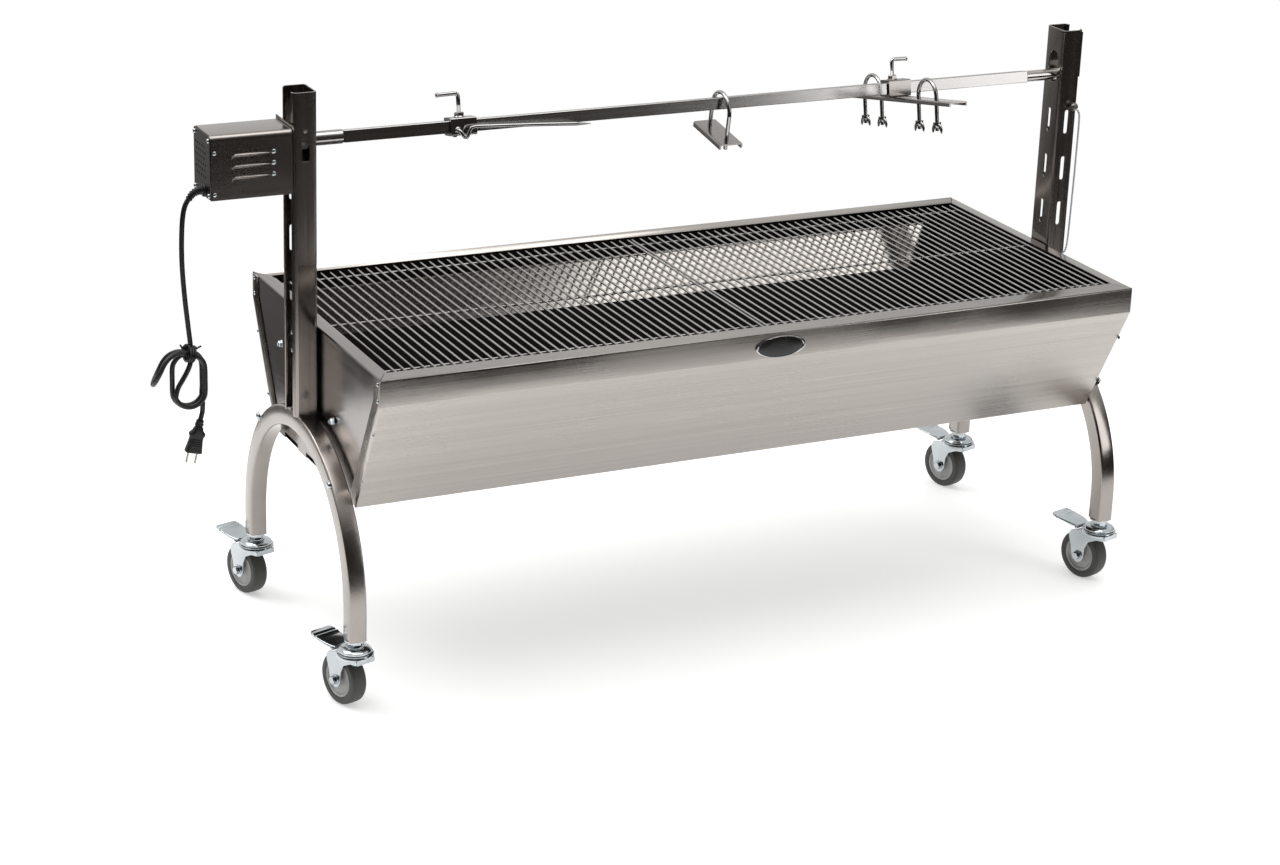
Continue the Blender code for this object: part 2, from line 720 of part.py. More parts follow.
def build_leg_brace(axis):
    middle, sleeve = collar(LEG_COLLAR)
    brace = add("leg_brace", sleeve, "brushed", (middle, 0, 0), parent=axis)
    shift = LEG_BAR_X - middle
    bar = plate([channel_outline(LEG_BAR_WIDTH, 0.0065)], LEG_BAR_LENGTH, FACING_Y)
    join(brace, moved(bar, (shift, 0, LEG_BAR_TOP)))
    cut(brace, clamp_hole(LEG_SCREW_X - middle))
    clamp_screw("leg_brace_screw", LEG_SCREW_X, 0.0425, 0.025, axis)
    for name, y in LEG_UBOLT_Y.items():
        points = ubolt_points(LEG_UBOLT_SPREAD, -0.0090, -0.0570)
        bolt = wire_curve(points, UBOLT_RADIUS)
        add("leg_ubolt_" + name, bolt, "polished", (LEG_BAR_X, y, 0), parent=axis)
        for label, side in (("front", -1), ("back", 1)):
            leg_y = y + side * LEG_UBOLT_SPREAD
            place = (shift, leg_y, LEG_BAR_TOP)
            cut(brace, cylinder(UBOLT_RADIUS + GAP, -0.004, 0.002, 12, place=place))
            wing_nut(f"wing_nut_{name}_{label}", (LEG_BAR_X, leg_y, -0.0490), axis)


def build_pin():
    """The holder plate on the right post, the lock pin in the flange, and the pin's chain."""
    low_left, low_right = RIM_Z + 0.271, RIM_Z + 0.263
    top = RIM_Z + 0.333
    outline = [(0.599, low_left), (0.632, low_right), (0.632, top), (0.599, top)]
    hole = ring_outline(0.004, 12, (0.613, RIM_Z + 0.2765))
    face_y = -POST_HALF_WIDTH - GAP - 0.00075
    add("spit_holder", plate([outline, hole], 0.0015, FACING_Y, (0, face_y, 0)), "post")
    ball, centre = 0.0065, 0.0310
    profile = [(0, centre + ball)]
    profile += [(r, z + centre) for r, z in arc((0, 0), ball, 65, -55, 6)]
    profile += [(0.003, 0.0250), (0.003, 0.0050), (0, 0.0050)]
    turned("lock_pin", profile, "dark_steel", 12, origin=PIN_PLACE, turn=(math.pi / 2, 0, 0))
    chain = [
        (0.6292, -0.0310, 0.2120),
        (0.6325, -0.0310, 0.2040),
        (0.6335, -0.0305, 0.1800),
        (0.6340, -0.0290, 0.1000),
        (0.6340, -0.0265, 0.0100),
        (0.6325, -0.0250, -0.0110),
        (0.6285, -0.0245, -0.0165),
    ]
    points = [(x, y, z + RIM_Z) for x, y, z in chain]
    add("pin_chain", wire_curve(points, 0.0016), "polished")


def build_cord():
    """The strain relief, the hanging cord, its tied hank and the plug."""

    def route(points):
        return [Vector((x, CORD_Y, RIM_Z + z)) for x, z in points]

    gland = wire_curve(route(GLAND_ROUTE), CORD_RADIUS, 4, GLAND_RADII)
    add("cord_gland", gland, "rubber")
    for name, points in (("cord_upper", CORD_ROUTE), ("cord_tail", TAIL_ROUTE)):
        add(name, wire_curve(smooth_route(route(points), 0.012), CORD_RADIUS), "rubber")
    loop = [(-0.780 + 0.024 * math.cos(t), -0.058 + 0.041 * math.sin(t))
            for t in (math.tau * step / 20 for step in range(20))]
    place = (0, CORD_Y, RIM_Z)
    hank = add("cord_hank", plate([loop], 0.022, FACING_Y, place), "rubber")
    lobe = [
        (-0.7660, -0.0300),
        (-0.7660, HANK_TOP),
        (-0.7870, HANK_TOP),
        (-0.8060, -0.0105),
        (-0.8180, -0.0165),
        (-0.8270, -0.0290),
        (-0.8330, -0.0430),
        (-0.8385, -0.0600),
        (-0.8280, -0.0640),
        (-0.8200, -0.0500),
        (-0.8110, -0.0390),
        (-0.7950, -0.0310),
    ]
    join(hank, plate([lobe], 0.050, FACING_Y, place))
    plug_axis = empty("plug_axis", PLUG_PLACE, (0, PLUG_TILT, 0), ROASTER)
    half = [(0.0045, 0), (0.0060, -0.0120), (0.0080, -0.0170), (0.0115, -0.0200),
            (0.0100, -0.0240), (0.0122, -0.0470), (0.0110, -0.0480)]
    outline = half + [(-x, z) for x, z in reversed(half)]
    add("plug_body", plate([outline], 0.014, FACING_Y), "rubber", parent=plug_axis)
    for name, x in (("left", -0.00635), ("right", 0.00635)):
        blade = box((x - 0.00075, -0.0032, -0.0640), (x + 0.00075, 0.0032, -0.0483))
        add("plug_blade_" + name, blade, "brass", parent=plug_axis)


def caster_fork_mesh():
    """The swivelling fork: a round top, two side plates and the axle with its nut."""
    fork = bpy.data.objects.new("fork_shape", cylinder(0.0265, 0.0785, 0.0860, 20))
    side = [
        (-0.0240, 0.0815),
        (-0.0240, 0.0700),
        (-0.0120, 0.0640),
        (0.0040, 0.0560),
        (0.0120, 0.0460),
        (0.0140, 0.0360),
        (0.0180, 0.0290),
        (0.0250, 0.0260),
        (0.0320, 0.0290),
        (0.0365, 0.0360),
        (0.0385, 0.0480),
        (0.0430, 0.0600),
        (0.0450, 0.0690),
        (0.0400, 0.0765),
        (0.0280, 0.0785),
        (0.0220, 0.0815),
    ]
    across = (math.pi / 2, 0, 0)
    axle = (TRAIL, 0, AXLE_Z)
    join(
        fork,
        plate([side], 0.0025, FACING_Y, (0, 0.0149, 0)),
        plate([side], 0.0025, FACING_Y, (0, -0.0149, 0)),
        cylinder(AXLE_RADIUS, -0.0280, 0.0190, 12, across, axle),
        cylinder(0.0066, -0.0220, -0.0155, 6, across, axle),
        cylinder(0.0066, 0.0155, 0.0205, 6, across, axle),
    )
    return plain_mesh(fork)


def build_casters():
    stem = [
        (0, 0.1280),
        (0.0105, 0.1280),
        (0.0105, 0.1036),
        (0.0150, 0.1036),
        (0.0150, 0.0990),
        (0.0095, 0.0990),
        (0.0095, 0.0925),
        (0.0215, 0.0915),
        (0.0230, 0.0885),
        (0.0220, 0.0863),
        (0, 0.0863),
    ]
    bore = AXLE_RADIUS + GAP
    tread = [
        (bore, 0.0110),
        (0.0270, 0.0110),
        (0.0285, 0.0120),
        (0.0355, 0.0120),
        (WHEEL_RADIUS, 0.0095),
        (WHEEL_RADIUS, -0.0095),
        (0.0355, -0.0120),
        (0.0285, -0.0120),
        (0.0270, -0.0110),
        (bore, -0.0110),
    ]
    pedal = [
        (0.0290, 0.0805),
        (0.0340, 0.0800),
        (0.0450, 0.0830),
        (0.0780, 0.0870),
        (0.0820, 0.0905),
        (0.0790, 0.0915),
        (0.0440, 0.0880),
        (0.0300, 0.0850),
    ]
    hinge_x, _, hinge_z = PEDAL_HINGE
    pedal = [(x - hinge_x, z - hinge_z) for x, z in pedal]
    fork_mesh = caster_fork_mesh()
    pedal_mesh = plate([pedal], 0.040, FACING_Y)
    for end, x in (("left", -LEG_X), ("right", LEG_X)):
        for side, y in (("front", -STEM_Y), ("back", STEM_Y)):
            name = f"{side}_{end}"
            turned("caster_stem_" + name, stem, "zinc", 14, origin=(x, y, 0))
            axis = empty("caster_axis_" + name, (x, y, 0), (0, 0, CASTER_TURN), ROASTER)
            add("caster_fork_" + name, fork_mesh.copy(), "zinc", parent=axis)
            add("caster_pedal_" + name, pedal_mesh.copy(), "zinc", PEDAL_HINGE, parent=axis)
            half_step = math.pi / WHEEL_STEPS
            turned(
                "caster_wheel_" + name,
                tread,
                "wheel",
                WHEEL_STEPS,
                closed=True,
                origin=(TRAIL, 0, AXLE_Z),
                turn=(math.pi / 2, half_step, 0),
                parent=axis,
            )


def build_roaster():
    build_trough()
    build_legs()
    build_motor()
    axis = empty("spit_axis", (0, 0, SPIT_Z), (SPIT_TILT, 0, 0), ROASTER)
    build_spit(axis)
    build_fork(axis)
    build_back_brace()
    build_leg_brace(axis)
    build_pin()
    build_cord()
    build_casters()
    for obj in PARTS.objects:
        if obj.type == "MESH" and obj.name.startswith(("caster_", "lock_pin", "drive_")):
            obj.data.shade_smooth()


build_roaster()
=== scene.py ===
"""Looks of the rotisserie spit roaster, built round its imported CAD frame.

Metres, +Z up, in the frame of the CAD: the spit runs along X with the motor at -X, +Y is the back
and the floor is Z = 0. Places are written in the design frame, whose X = 0 is the trough's middle
and whose Y = 0 is the spit, and CENTRE carries them into the frame of the CAD.
"""

import math

import bmesh
import bpy
from mathutils import Euler, Matrix, Vector


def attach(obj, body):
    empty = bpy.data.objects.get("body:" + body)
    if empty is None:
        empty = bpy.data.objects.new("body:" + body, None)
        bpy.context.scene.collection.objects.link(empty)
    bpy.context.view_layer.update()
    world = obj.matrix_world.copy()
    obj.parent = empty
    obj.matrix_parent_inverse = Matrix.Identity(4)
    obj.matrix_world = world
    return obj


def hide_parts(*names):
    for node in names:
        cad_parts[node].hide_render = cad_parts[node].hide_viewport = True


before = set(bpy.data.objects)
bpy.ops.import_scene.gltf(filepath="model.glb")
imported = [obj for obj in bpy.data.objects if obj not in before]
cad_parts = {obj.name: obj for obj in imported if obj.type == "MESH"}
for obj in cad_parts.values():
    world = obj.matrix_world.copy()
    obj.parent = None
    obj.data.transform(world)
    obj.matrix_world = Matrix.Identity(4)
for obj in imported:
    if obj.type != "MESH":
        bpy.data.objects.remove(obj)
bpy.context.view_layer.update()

CENTRE = Vector((0.05665, -0.01577, 0))
RIM_Z = 0.494
SPIT_Z = RIM_Z + 0.2645
ROOT = "roaster_frame"

# ---------------------------------------------------------------- camera

CAMERA_PLACE = (-1.89515, -3.75877, 1.8232)
CAMERA_AZIMUTH = math.radians(-26.533)
CAMERA_ELEVATION = math.radians(20.437)
CAMERA_ROLL = math.radians(2.06)
CAMERA_LENS = 84.35


def make_camera():
    data = bpy.data.cameras.new("camera")
    data.lens = CAMERA_LENS
    data.sensor_width = 36
    camera = bpy.data.objects.new("camera", data)
    bpy.context.scene.collection.objects.link(camera)
    flat = math.cos(CAMERA_ELEVATION)
    back = Vector((math.sin(CAMERA_AZIMUTH) * flat, -math.cos(CAMERA_AZIMUTH) * flat,
            math.sin(CAMERA_ELEVATION)))
    right = Vector((math.cos(CAMERA_AZIMUTH), math.sin(CAMERA_AZIMUTH), 0))
    up = back.cross(right)
    cosine, sine = math.cos(CAMERA_ROLL), math.sin(CAMERA_ROLL)
    axes = (cosine * right + sine * up, cosine * up - sine * right, back)
    camera.matrix_world = Matrix.Translation(CAMERA_PLACE) @ Matrix(axes).transposed().to_4x4()
    bpy.context.scene.camera = camera


make_camera()

# ---------------------------------------------------------------- shader helpers


def shader_graph(name):
    """A new material, its node tree and its Principled BSDF."""
    material = bpy.data.materials.new(name)
    material.use_nodes = True
    return material, material.node_tree, material.node_tree.nodes["Principled BSDF"]


def feed(tree, socket, value):
    """Gives an input a value, or joins it to another socket."""
    if isinstance(value, bpy.types.NodeSocket):
        tree.links.new(value, socket)
    else:
        socket.default_value = value


def node(tree, kind, **inputs):
    """Adds a node and fills its inputs with values or with other sockets."""
    made = tree.nodes.new(kind)
    for key, value in inputs.items():
        feed(tree, made.inputs[key.replace("_", " ")], value)
    return made


def object_coordinates(tree):
    return node(tree, "ShaderNodeTexCoord").outputs["Object"]


def stretched(tree, vector, scale, turn=(0, 0, 0)):
    return node(tree, "ShaderNodeMapping", Vector=vector, Scale=scale,
        Rotation=turn).outputs["Vector"]


def noise(tree, vector, scale, detail=3.0, rough=0.5):
    made = node(tree, "ShaderNodeTexNoise", Vector=vector, Scale=scale, Detail=detail,
        Roughness=rough)
    return made.outputs["Fac"]


def ranged(tree, value, low, high, from_low=0.0, from_high=1.0):
    made = node(tree, "ShaderNodeMapRange", Value=value, From_Min=from_low, From_Max=from_high,
        To_Min=low, To_Max=high)
    return made.outputs["Result"]


def maths(tree, operation, first, second=0.0):
    made = tree.nodes.new("ShaderNodeMath")
    made.operation = operation
    for socket, value in zip(made.inputs, (first, second)):
        feed(tree, socket, value)
    return made.outputs[0]


def mixed(tree, factor, first, second):
    """Mixes two colours, each given as three numbers or as a socket."""
    made = tree.nodes.new("ShaderNodeMix")
    made.data_type = "RGBA"
    for index, value in ((0, factor), (6, first), (7, second)):
        feed(tree, made.inputs[index], (*value, 1) if isinstance(value, tuple) else value)
    return made.outputs[2]


def bumped(tree, shader, height, strength, distance):
    made = node(tree, "ShaderNodeBump", Height=height, Strength=strength, Distance=distance)
    tree.links.new(made.outputs["Normal"], shader.inputs["Normal"])


def scaled_colour(colour, factor):
    return tuple(min(1.0, channel * factor) for channel in colour)


# ---------------------------------------------------------------- materials

ALONG_X = (3.0, 900.0, 900.0)
ALONG_Y = (900.0, 3.0, 900.0)
ALONG_Z = (900.0, 900.0, 3.0)


FASCIA_HALF = 0.2580
SLOPE_NORMAL = (0.8868, 0.4622)
FOLD_Z = RIM_Z - 0.038
END_HALF = 0.5955
SURFACE = -0.0006


def trough_inside(tree, place):
    """One on the inner side of the trough's sheets, nought on their outer side and above: the mask
    for the painted shade inside the trough.
    """
    x, y, z = node(tree, "ShaderNodeSeparateXYZ", Vector=place).outputs
    across = maths(tree, "ABSOLUTE", maths(tree, "SUBTRACT", y, CENTRE.y))
    along = maths(tree, "ABSOLUTE", maths(tree, "SUBTRACT", x, CENTRE.x))
    past_fascia = maths(tree, "SUBTRACT", across, FASCIA_HALF)
    below_fold = maths(tree, "SUBTRACT", FOLD_Z, z)
    outward = maths(tree, "MULTIPLY", past_fascia, SLOPE_NORMAL[0])
    downward = maths(tree, "MULTIPLY", below_fold, SLOPE_NORMAL[1])
    past_slope = maths(tree, "ADD", outward, downward)
    past_end = maths(tree, "SUBTRACT", along, END_HALF)
    above_rim = maths(tree, "SUBTRACT", z, RIM_Z)
    outer = maths(tree, "MAXIMUM", maths(tree, "MAXIMUM", past_fascia, past_slope), past_end)
    return maths(tree, "LESS_THAN", maths(tree, "MAXIMUM", outer, above_rim), SURFACE)


def brushed_steel(name, colour, grain, roughness, contrast=0.10, grain_depth=0.25, smudge=0.10,
    inside=0.0):
    """Stainless steel with fine grain along one direction, faint scratches and wiped smudges, and
    painted shade that darkens the trough's inner side toward black by the share that inside gives.
    """
    material, tree, shader = shader_graph(name)
    place = object_coordinates(tree)
    fine = noise(tree, stretched(tree, place, grain), 1.0, 4.0, 0.6)
    streaks = noise(tree, stretched(tree, place, tuple(0.09 * s for s in grain)), 1.0, 3.0, 0.6)
    wiped = noise(tree, stretched(tree, place, (3.0, 5.0, 4.0)), 1.0, 3.0, 0.55)
    scratch_lines = noise(tree, stretched(tree, place, (7.0, 160.0, 90.0), (0.3, 0.5, 0.2)), 1.0,
        2.0)
    scratches = ranged(tree, scratch_lines, 0.0, 1.0, 0.69, 0.73)
    tone = maths(tree, "ADD", maths(tree, "MULTIPLY", fine, 0.6),
        maths(tree, "MULTIPLY", streaks, 0.4))
    dark, light = scaled_colour(colour, 1 - contrast), scaled_colour(colour, 1 + contrast)
    base = mixed(tree, ranged(tree, tone, 0.0, 1.0, 0.35, 0.65), dark, light)
    base = mixed(tree, maths(tree, "MULTIPLY", scratches, 0.25), base, scaled_colour(colour, 1.25))
    depth = grain_depth
    if inside:
        # Painted shade: the trough's inner side is darkened toward near black, for the shade inside
        # the trough.
        shaded_inside = trough_inside(tree, place)
        base = mixed(tree, maths(tree, "MULTIPLY", shaded_inside, inside), base, (0.02, 0.018, 0.016))
    tree.links.new(base, shader.inputs["Base Color"])
    rough = ranged(tree, tone, roughness * 0.8, roughness * 1.2, 0.3, 0.7)
    rough = maths(tree, "ADD", rough, ranged(tree, wiped, -smudge, smudge, 0.3, 0.7))
    if inside:
        smoother = maths(tree, "SUBTRACT", 1.0, maths(tree, "MULTIPLY", shaded_inside, 0.7))
        rough = maths(tree, "MULTIPLY", rough, smoother)
        depth = maths(tree, "MULTIPLY", smoother, grain_depth)
    rough = maths(tree, "MAXIMUM", rough, 0.05)
    tree.links.new(rough, shader.inputs["Roughness"])
    shader.inputs["Metallic"].default_value = 1
    bumped(tree, shader, tone, depth, 0.0002)
    return material


def plain_steel(name, colour, roughness, scale=140.0, wear=0.12):
    """Polished, plated or cast metal with fine mottling and small dents."""
    material, tree, shader = shader_graph(name)
    place = object_coordinates(tree)
    fine = noise(tree, place, scale, 3.0)
    broad = noise(tree, place, 18.0, 3.0)
    base = mixed(tree, ranged(tree, broad, 0.0, 1.0, 0.3, 0.7), scaled_colour(colour, 1 - wear),
        scaled_colour(colour, 1 + wear))
    tree.links.new(base, shader.inputs["Base Color"])
    rough = maths(tree, "ADD", ranged(tree, fine, roughness * 0.7, roughness * 1.3),
        ranged(tree, broad, -0.04, 0.06, 0.3, 0.7))
    tree.links.new(maths(tree, "MAXIMUM", rough, 0.04), shader.inputs["Roughness"])
    shader.inputs["Metallic"].default_value = 1
    bumped(tree, shader, fine, 0.15, 0.0003)
    return material


def moulded(name, colour, roughness, scale=900.0, depth=0.25, mottle=0.25):
    """Rubber or moulded plastic with a fine texture and dusty patches."""
    material, tree, shader = shader_graph(name)
    place = object_coordinates(tree)
    fine = noise(tree, place, scale, 2.0)
    broad = noise(tree, place, 35.0, 4.0)
    base = mixed(tree, ranged(tree, broad, 0.0, 1.0, 0.35, 0.75), scaled_colour(colour, 1 - mottle),
        tuple(min(1.0, channel * (1 + mottle) + 0.006) for channel in colour))
    tree.links.new(base, shader.inputs["Base Color"])
    rough = ranged(tree, broad, roughness * 0.85, min(1.0, roughness * 1.15), 0.3, 0.7)
    tree.links.new(rough, shader.inputs["Roughness"])
    bumped(tree, shader, fine, depth, 0.0003)
    return material


WARM = (0.45, 0.42, 0.395)
# The end, arch, post and housing steels are darker copies of the panel's stainless: painted shade
# for how dark those parts look under this light.
STEEL = {"panel": brushed_steel("panel_steel", WARM, ALONG_X, 0.25, inside=0.10),
    "end": brushed_steel("end_panel_steel", (0.29, 0.27, 0.26), ALONG_Y, 0.17, smudge=0.05,
        inside=0.50), "arch": brushed_steel("arch_steel", (0.34, 0.31, 0.29), (60.0, 60.0, 60.0),
        0.20, 0.05), "post": brushed_steel("post_steel", (0.34, 0.31, 0.29), ALONG_Z, 0.18, 0.08,
        0.15, 0.04), "housing": brushed_steel("housing_steel", (0.31, 0.285, 0.27), ALONG_X, 0.20,
        0.06, 0.12, 0.05), "vented": brushed_steel("vented_steel", (0.13, 0.12, 0.115), ALONG_Y,
        0.26, 0.06, 0.12, 0.05), "spit": brushed_steel("spit_steel", (0.42, 0.41, 0.40), ALONG_X,
        0.18, 0.08, 0.15, 0.04), "polished": plain_steel("polished_steel", (0.42, 0.415, 0.41),
        0.13), "rod": plain_steel("grate_rod_steel", (0.40, 0.39, 0.38), 0.24),
    "dark": plain_steel("dark_steel", (0.20, 0.19, 0.185), 0.40),
    # Near black: the charcoal pan's own colour, also used as painted shade on the bottom panel and
    # behind the end plate's holes.
    "pan": plain_steel("pan_steel", (0.022, 0.020, 0.019), 0.55),
    "zinc": plain_steel("zinc_plate", (0.50, 0.535, 0.555), 0.14),
    "brass": plain_steel("blade_nickel", (0.78, 0.74, 0.66), 0.24)}
TREAD = moulded("wheel_rubber", (0.048, 0.047, 0.045), 0.55)
HUB = moulded("wheel_hub_rubber", (0.36, 0.36, 0.355), 0.50)
RUBBER = moulded("cord_rubber", (0.006, 0.006, 0.006), 0.45)
PLASTIC = moulded("switch_plastic", (0.012, 0.012, 0.013), 0.35)
ENAMEL = moulded("badge_enamel", (0.012, 0.012, 0.012), 0.22, depth=0.05)

# The CAD nodes that stay in sight, each with its material. The bottom panel takes the near-black
# pan colour as painted shade, for the shade under the pan that the vents show.
NODE_MATERIALS = {"bottom_panel": "pan", "gearmotor": "dark", "drive_coupler": "dark"}


def paint_nodes():
    for name, kind in NODE_MATERIALS.items():
        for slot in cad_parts[name].material_slots:
            slot.material = STEEL[kind]


# ---------------------------------------------------------------- shape helpers

FACING_X = Euler((math.pi / 2, 0, math.pi / 2)).to_matrix().to_4x4()  # drawn x, y are Y, Z
FACING_Y = Euler((math.pi / 2, 0, 0)).to_matrix().to_4x4()  # drawn x, y are X, Z
ALONG = {"X": Matrix.Rotation(math.pi / 2, 4, "Y"), "-X": Matrix.Rotation(-math.pi / 2, 4, "Y"),
    "Y": Matrix.Rotation(-math.pi / 2, 4, "X"), "-Y": Matrix.Rotation(math.pi / 2, 4, "X")}
HALF_TURN = Matrix.Rotation(math.pi, 4, "Z")


def shifted(x, y, z):
    return Matrix.Translation((x, y, z))


SPIT = shifted(0, 0, SPIT_Z) @ Matrix.Rotation(math.radians(-10.8), 4, "X")
BRACE = shifted(0.030, 0, SPIT_Z) @ Matrix.Rotation(math.radians(9.3), 4, "X")


def link(name, data):
    made = bpy.data.objects.new(name, data)
    bpy.context.scene.collection.objects.link(made)
    return made


def meshed(bm, name="part"):
    mesh = bpy.data.meshes.new(name)
    bm.to_mesh(mesh)
    bm.free()
    return mesh


def evaluated(obj):
    """The shape of a temporary object with its modifiers applied. The object is removed."""
    bpy.context.view_layer.update()
    graph = bpy.context.evaluated_depsgraph_get()
    mesh = bpy.data.meshes.new_from_object(obj.evaluated_get(graph))
    bpy.data.objects.remove(obj)
    return mesh


def thicken(obj, wall):
    solid = obj.modifiers.new("wall", "SOLIDIFY")
    solid.thickness, solid.offset, solid.use_even_offset = wall, -1, True


def piece(name, bm, material, own=None, body=ROOT, replaces=(), place=None, edge=0.0,
    sharp=40, wall=0.0):
    """Makes a finished piece from a shape in the design frame, or in the frame that place gives.

    A piece with an own node rides on the body of that name and stands for that node.
    """
    if own:
        body, replaces = own, (own,)
    if not wall:
        bmesh.ops.recalc_face_normals(bm, faces=bm.faces)
    bm.transform(Matrix.Translation(CENTRE) @ (place or Matrix()))
    mesh = meshed(bm, name)
    mesh.shade_smooth()
    mesh.set_sharp_from_angle(angle=math.radians(sharp))
    mesh.materials.append(material)
    made = link(name, mesh)
    if wall:
        thicken(made, wall)
    if edge:
        bevel = made.modifiers.new("edges", "BEVEL")
        bevel.width, bevel.segments = edge, 2
        bevel.limit_method, bevel.angle_limit = "ANGLE", math.radians(50)
        bevel.harden_normals = True
    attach(made, body)
    if replaces:
        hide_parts(*replaces)
    return made


def bridged(bm, rings, closed=True):
    """Adds the faces between rings of vertices; a ring of one vertex is a tip."""
    for a, b in zip(rings, rings[1:]):
        steps = max(len(a), len(b))
        for k in range(steps if closed else steps - 1):
            after = k + 1
            corners = (a[k % len(a)], a[after % len(a)], b[after % len(b)], b[k % len(b)])
            corners = list(dict.fromkeys(corners))
            if len(corners) > 2:
                bm.faces.new(corners)


def loft(bm, rings, caps=True):
    """Adds a body through rings of points."""
    made = [[bm.verts.new(point) for point in ring] for ring in rings]
    bridged(bm, made)
    if caps:
        bm.faces.new(made[0])
        bm.faces.new(made[-1])
    return made


def frames_along(points):
    """Each point with its direction and two directions across it, without twist."""
    points = [Vector(point) for point in points]
    last = len(points) - 1
    across = None
    for i, point in enumerate(points):
        ahead = (points[min(i + 1, last)] - points[max(i - 1, 0)]).normalized()
        across = ahead.orthogonal() if across is None else across
        across = (across - ahead * across.dot(ahead)).normalized()
        yield point, ahead, across, ahead.cross(across)


def tube(bm, points, radius, sides=12, radii=None):
    """Adds a round rod along the points, its ends slightly rounded."""
    frames = list(frames_along(points))
    radii = radii or [radius] * len(frames)
    rings = [(point, r, a, b) for (point, _, a, b), r in zip(frames, radii)]
    first, last = frames[0], frames[-1]
    rings.insert(0, (first[0] - first[1] * radii[0] * 0.3, radii[0] * 0.6, first[2], first[3]))
    rings.append((last[0] + last[1] * radii[-1] * 0.3, radii[-1] * 0.6, last[2], last[3]))
    turns = [math.tau * k / sides for k in range(sides)]
    loft(bm, [[p + r * (math.cos(t) * a + math.sin(t) * b) for t in turns] for p, r, a, b in rings])


def lathe(bm, profile, steps=32, place=None, closed=False):
    """Adds a body turned about Z from pairs of radius and height; a radius of 0 is a tip."""
    place = place or Matrix()
    rings = []
    for radius, height in profile:
        turns = [math.tau * k / steps for k in range(steps if radius > 1e-6 else 1)]
        rings.append([bm.verts.new(place @ Vector(
                        (radius * math.cos(t), radius * math.sin(t), height))) for t in turns])
    bridged(bm, rings + rings[:1] if closed else rings)


def prism(bm, outline, depth, place=None):
    """Adds a flat body drawn as one outline, with its depth to both sides."""
    place = place or Matrix()
    loft(bm, [[place @ Vector((x, y, z)) for x, y in outline] for z in (-depth / 2, depth / 2)])


def block(bm, low, high, place=None):
    middle = [(a + b) / 2 for a, b in zip(low, high)]
    half_x, half_y = (high[0] - low[0]) / 2, (high[1] - low[1]) / 2
    outline = [(-half_x, -half_y), (half_x, -half_y), (half_x, half_y), (-half_x, half_y)]
    prism(bm, outline, high[2] - low[2], (place or Matrix()) @ shifted(*middle))


def cutout(bm, outlines, depth, place=None):
    """Adds a flat body drawn as outlines, those inside another being holes."""
    curve = bpy.data.curves.new("outline", "CURVE")
    curve.dimensions, curve.fill_mode, curve.extrude = "2D", "BOTH", depth / 2
    for outline in outlines:
        spline = curve.splines.new("POLY")
        spline.points.add(len(outline) - 1)
        for point, (x, y) in zip(spline.points, outline):
            point.co = (x, y, 0, 1)
        spline.use_cyclic_u = True
    flat = bmesh.new()
    flat.from_mesh(evaluated(link("outline", curve)))
    bmesh.ops.remove_doubles(flat, verts=flat.verts, dist=1e-6)
    flat.transform(place or Matrix())
    bm.from_mesh(meshed(flat))


def carved(bm, cutter, wall=0.0):
    """The shape with its wall, less the cutter."""
    tool = link("cutter", meshed(cutter))
    body = link("body", meshed(bm))
    if wall:
        thicken(body, wall)
    cut = body.modifiers.new("cut", "BOOLEAN")
    cut.operation, cut.solver, cut.object = "DIFFERENCE", "EXACT", tool
    result = bmesh.new()
    result.from_mesh(evaluated(body))
    bpy.data.objects.remove(tool)
    return result


def sheet(bm, rows):
    """Adds an open surface through rows of points; it faces rows crossed with columns."""
    bridged(bm, [[bm.verts.new(point) for point in row] for row in rows], closed=False)


def arc(centre, radius, start, end, steps):
    turns = [math.radians(start + (end - start) * step / steps) for step in range(steps + 1)]
    return [(centre[0] + radius * math.cos(t), centre[1] + radius * math.sin(t)) for t in turns]


def circle(radius, centre=(0, 0), steps=24):
    return arc(centre, radius, 0, 360 * (1 - 1 / steps), steps - 1)


def upright_slot(width, height, centre, steps=8):
    rise = (height - width) / 2
    top = arc((centre[0], centre[1] + rise), width / 2, 0, 180, steps)
    return top + arc((centre[0], centre[1] - rise), width / 2, 180, 360, steps)


def rounded_box(width, height, radius, centre=(0, 0), steps=5):
    x, y = width / 2 - radius, height / 2 - radius
    corners = ((x, y, 0), (-x, y, 90), (-x, -y, 180), (x, -y, 270))
    outline = []
    for cx, cy, start in corners:
        outline += arc((centre[0] + cx, centre[1] + cy), radius, start, start + 90, steps)
    return outline


def folded(points, radius, steps=4, closed=False):
    """Points, flat or in space, with each corner between them rounded."""
    points = [Vector(point) for point in points]
    count = len(points)
    result = [] if closed else [points[0]]
    for i in range(0 if closed else 1, count if closed else count - 1):
        before, corner, after = points[i - 1], points[i], points[(i + 1) % count]
        to_before, to_after = before - corner, after - corner
        half = to_before.angle(to_after) / 2
        reach = min(radius / max(math.tan(half), 0.05), 0.48 * to_before.length,
            0.48 * to_after.length)
        start = corner + to_before.normalized() * reach
        end = corner + to_after.normalized() * reach
        for step in range(steps + 1):
            t = step / steps
            result.append(start * (1 - t) ** 2 + corner * 2 * t * (1 - t) + end * t * t)
    return result if closed else result + [points[-1]]


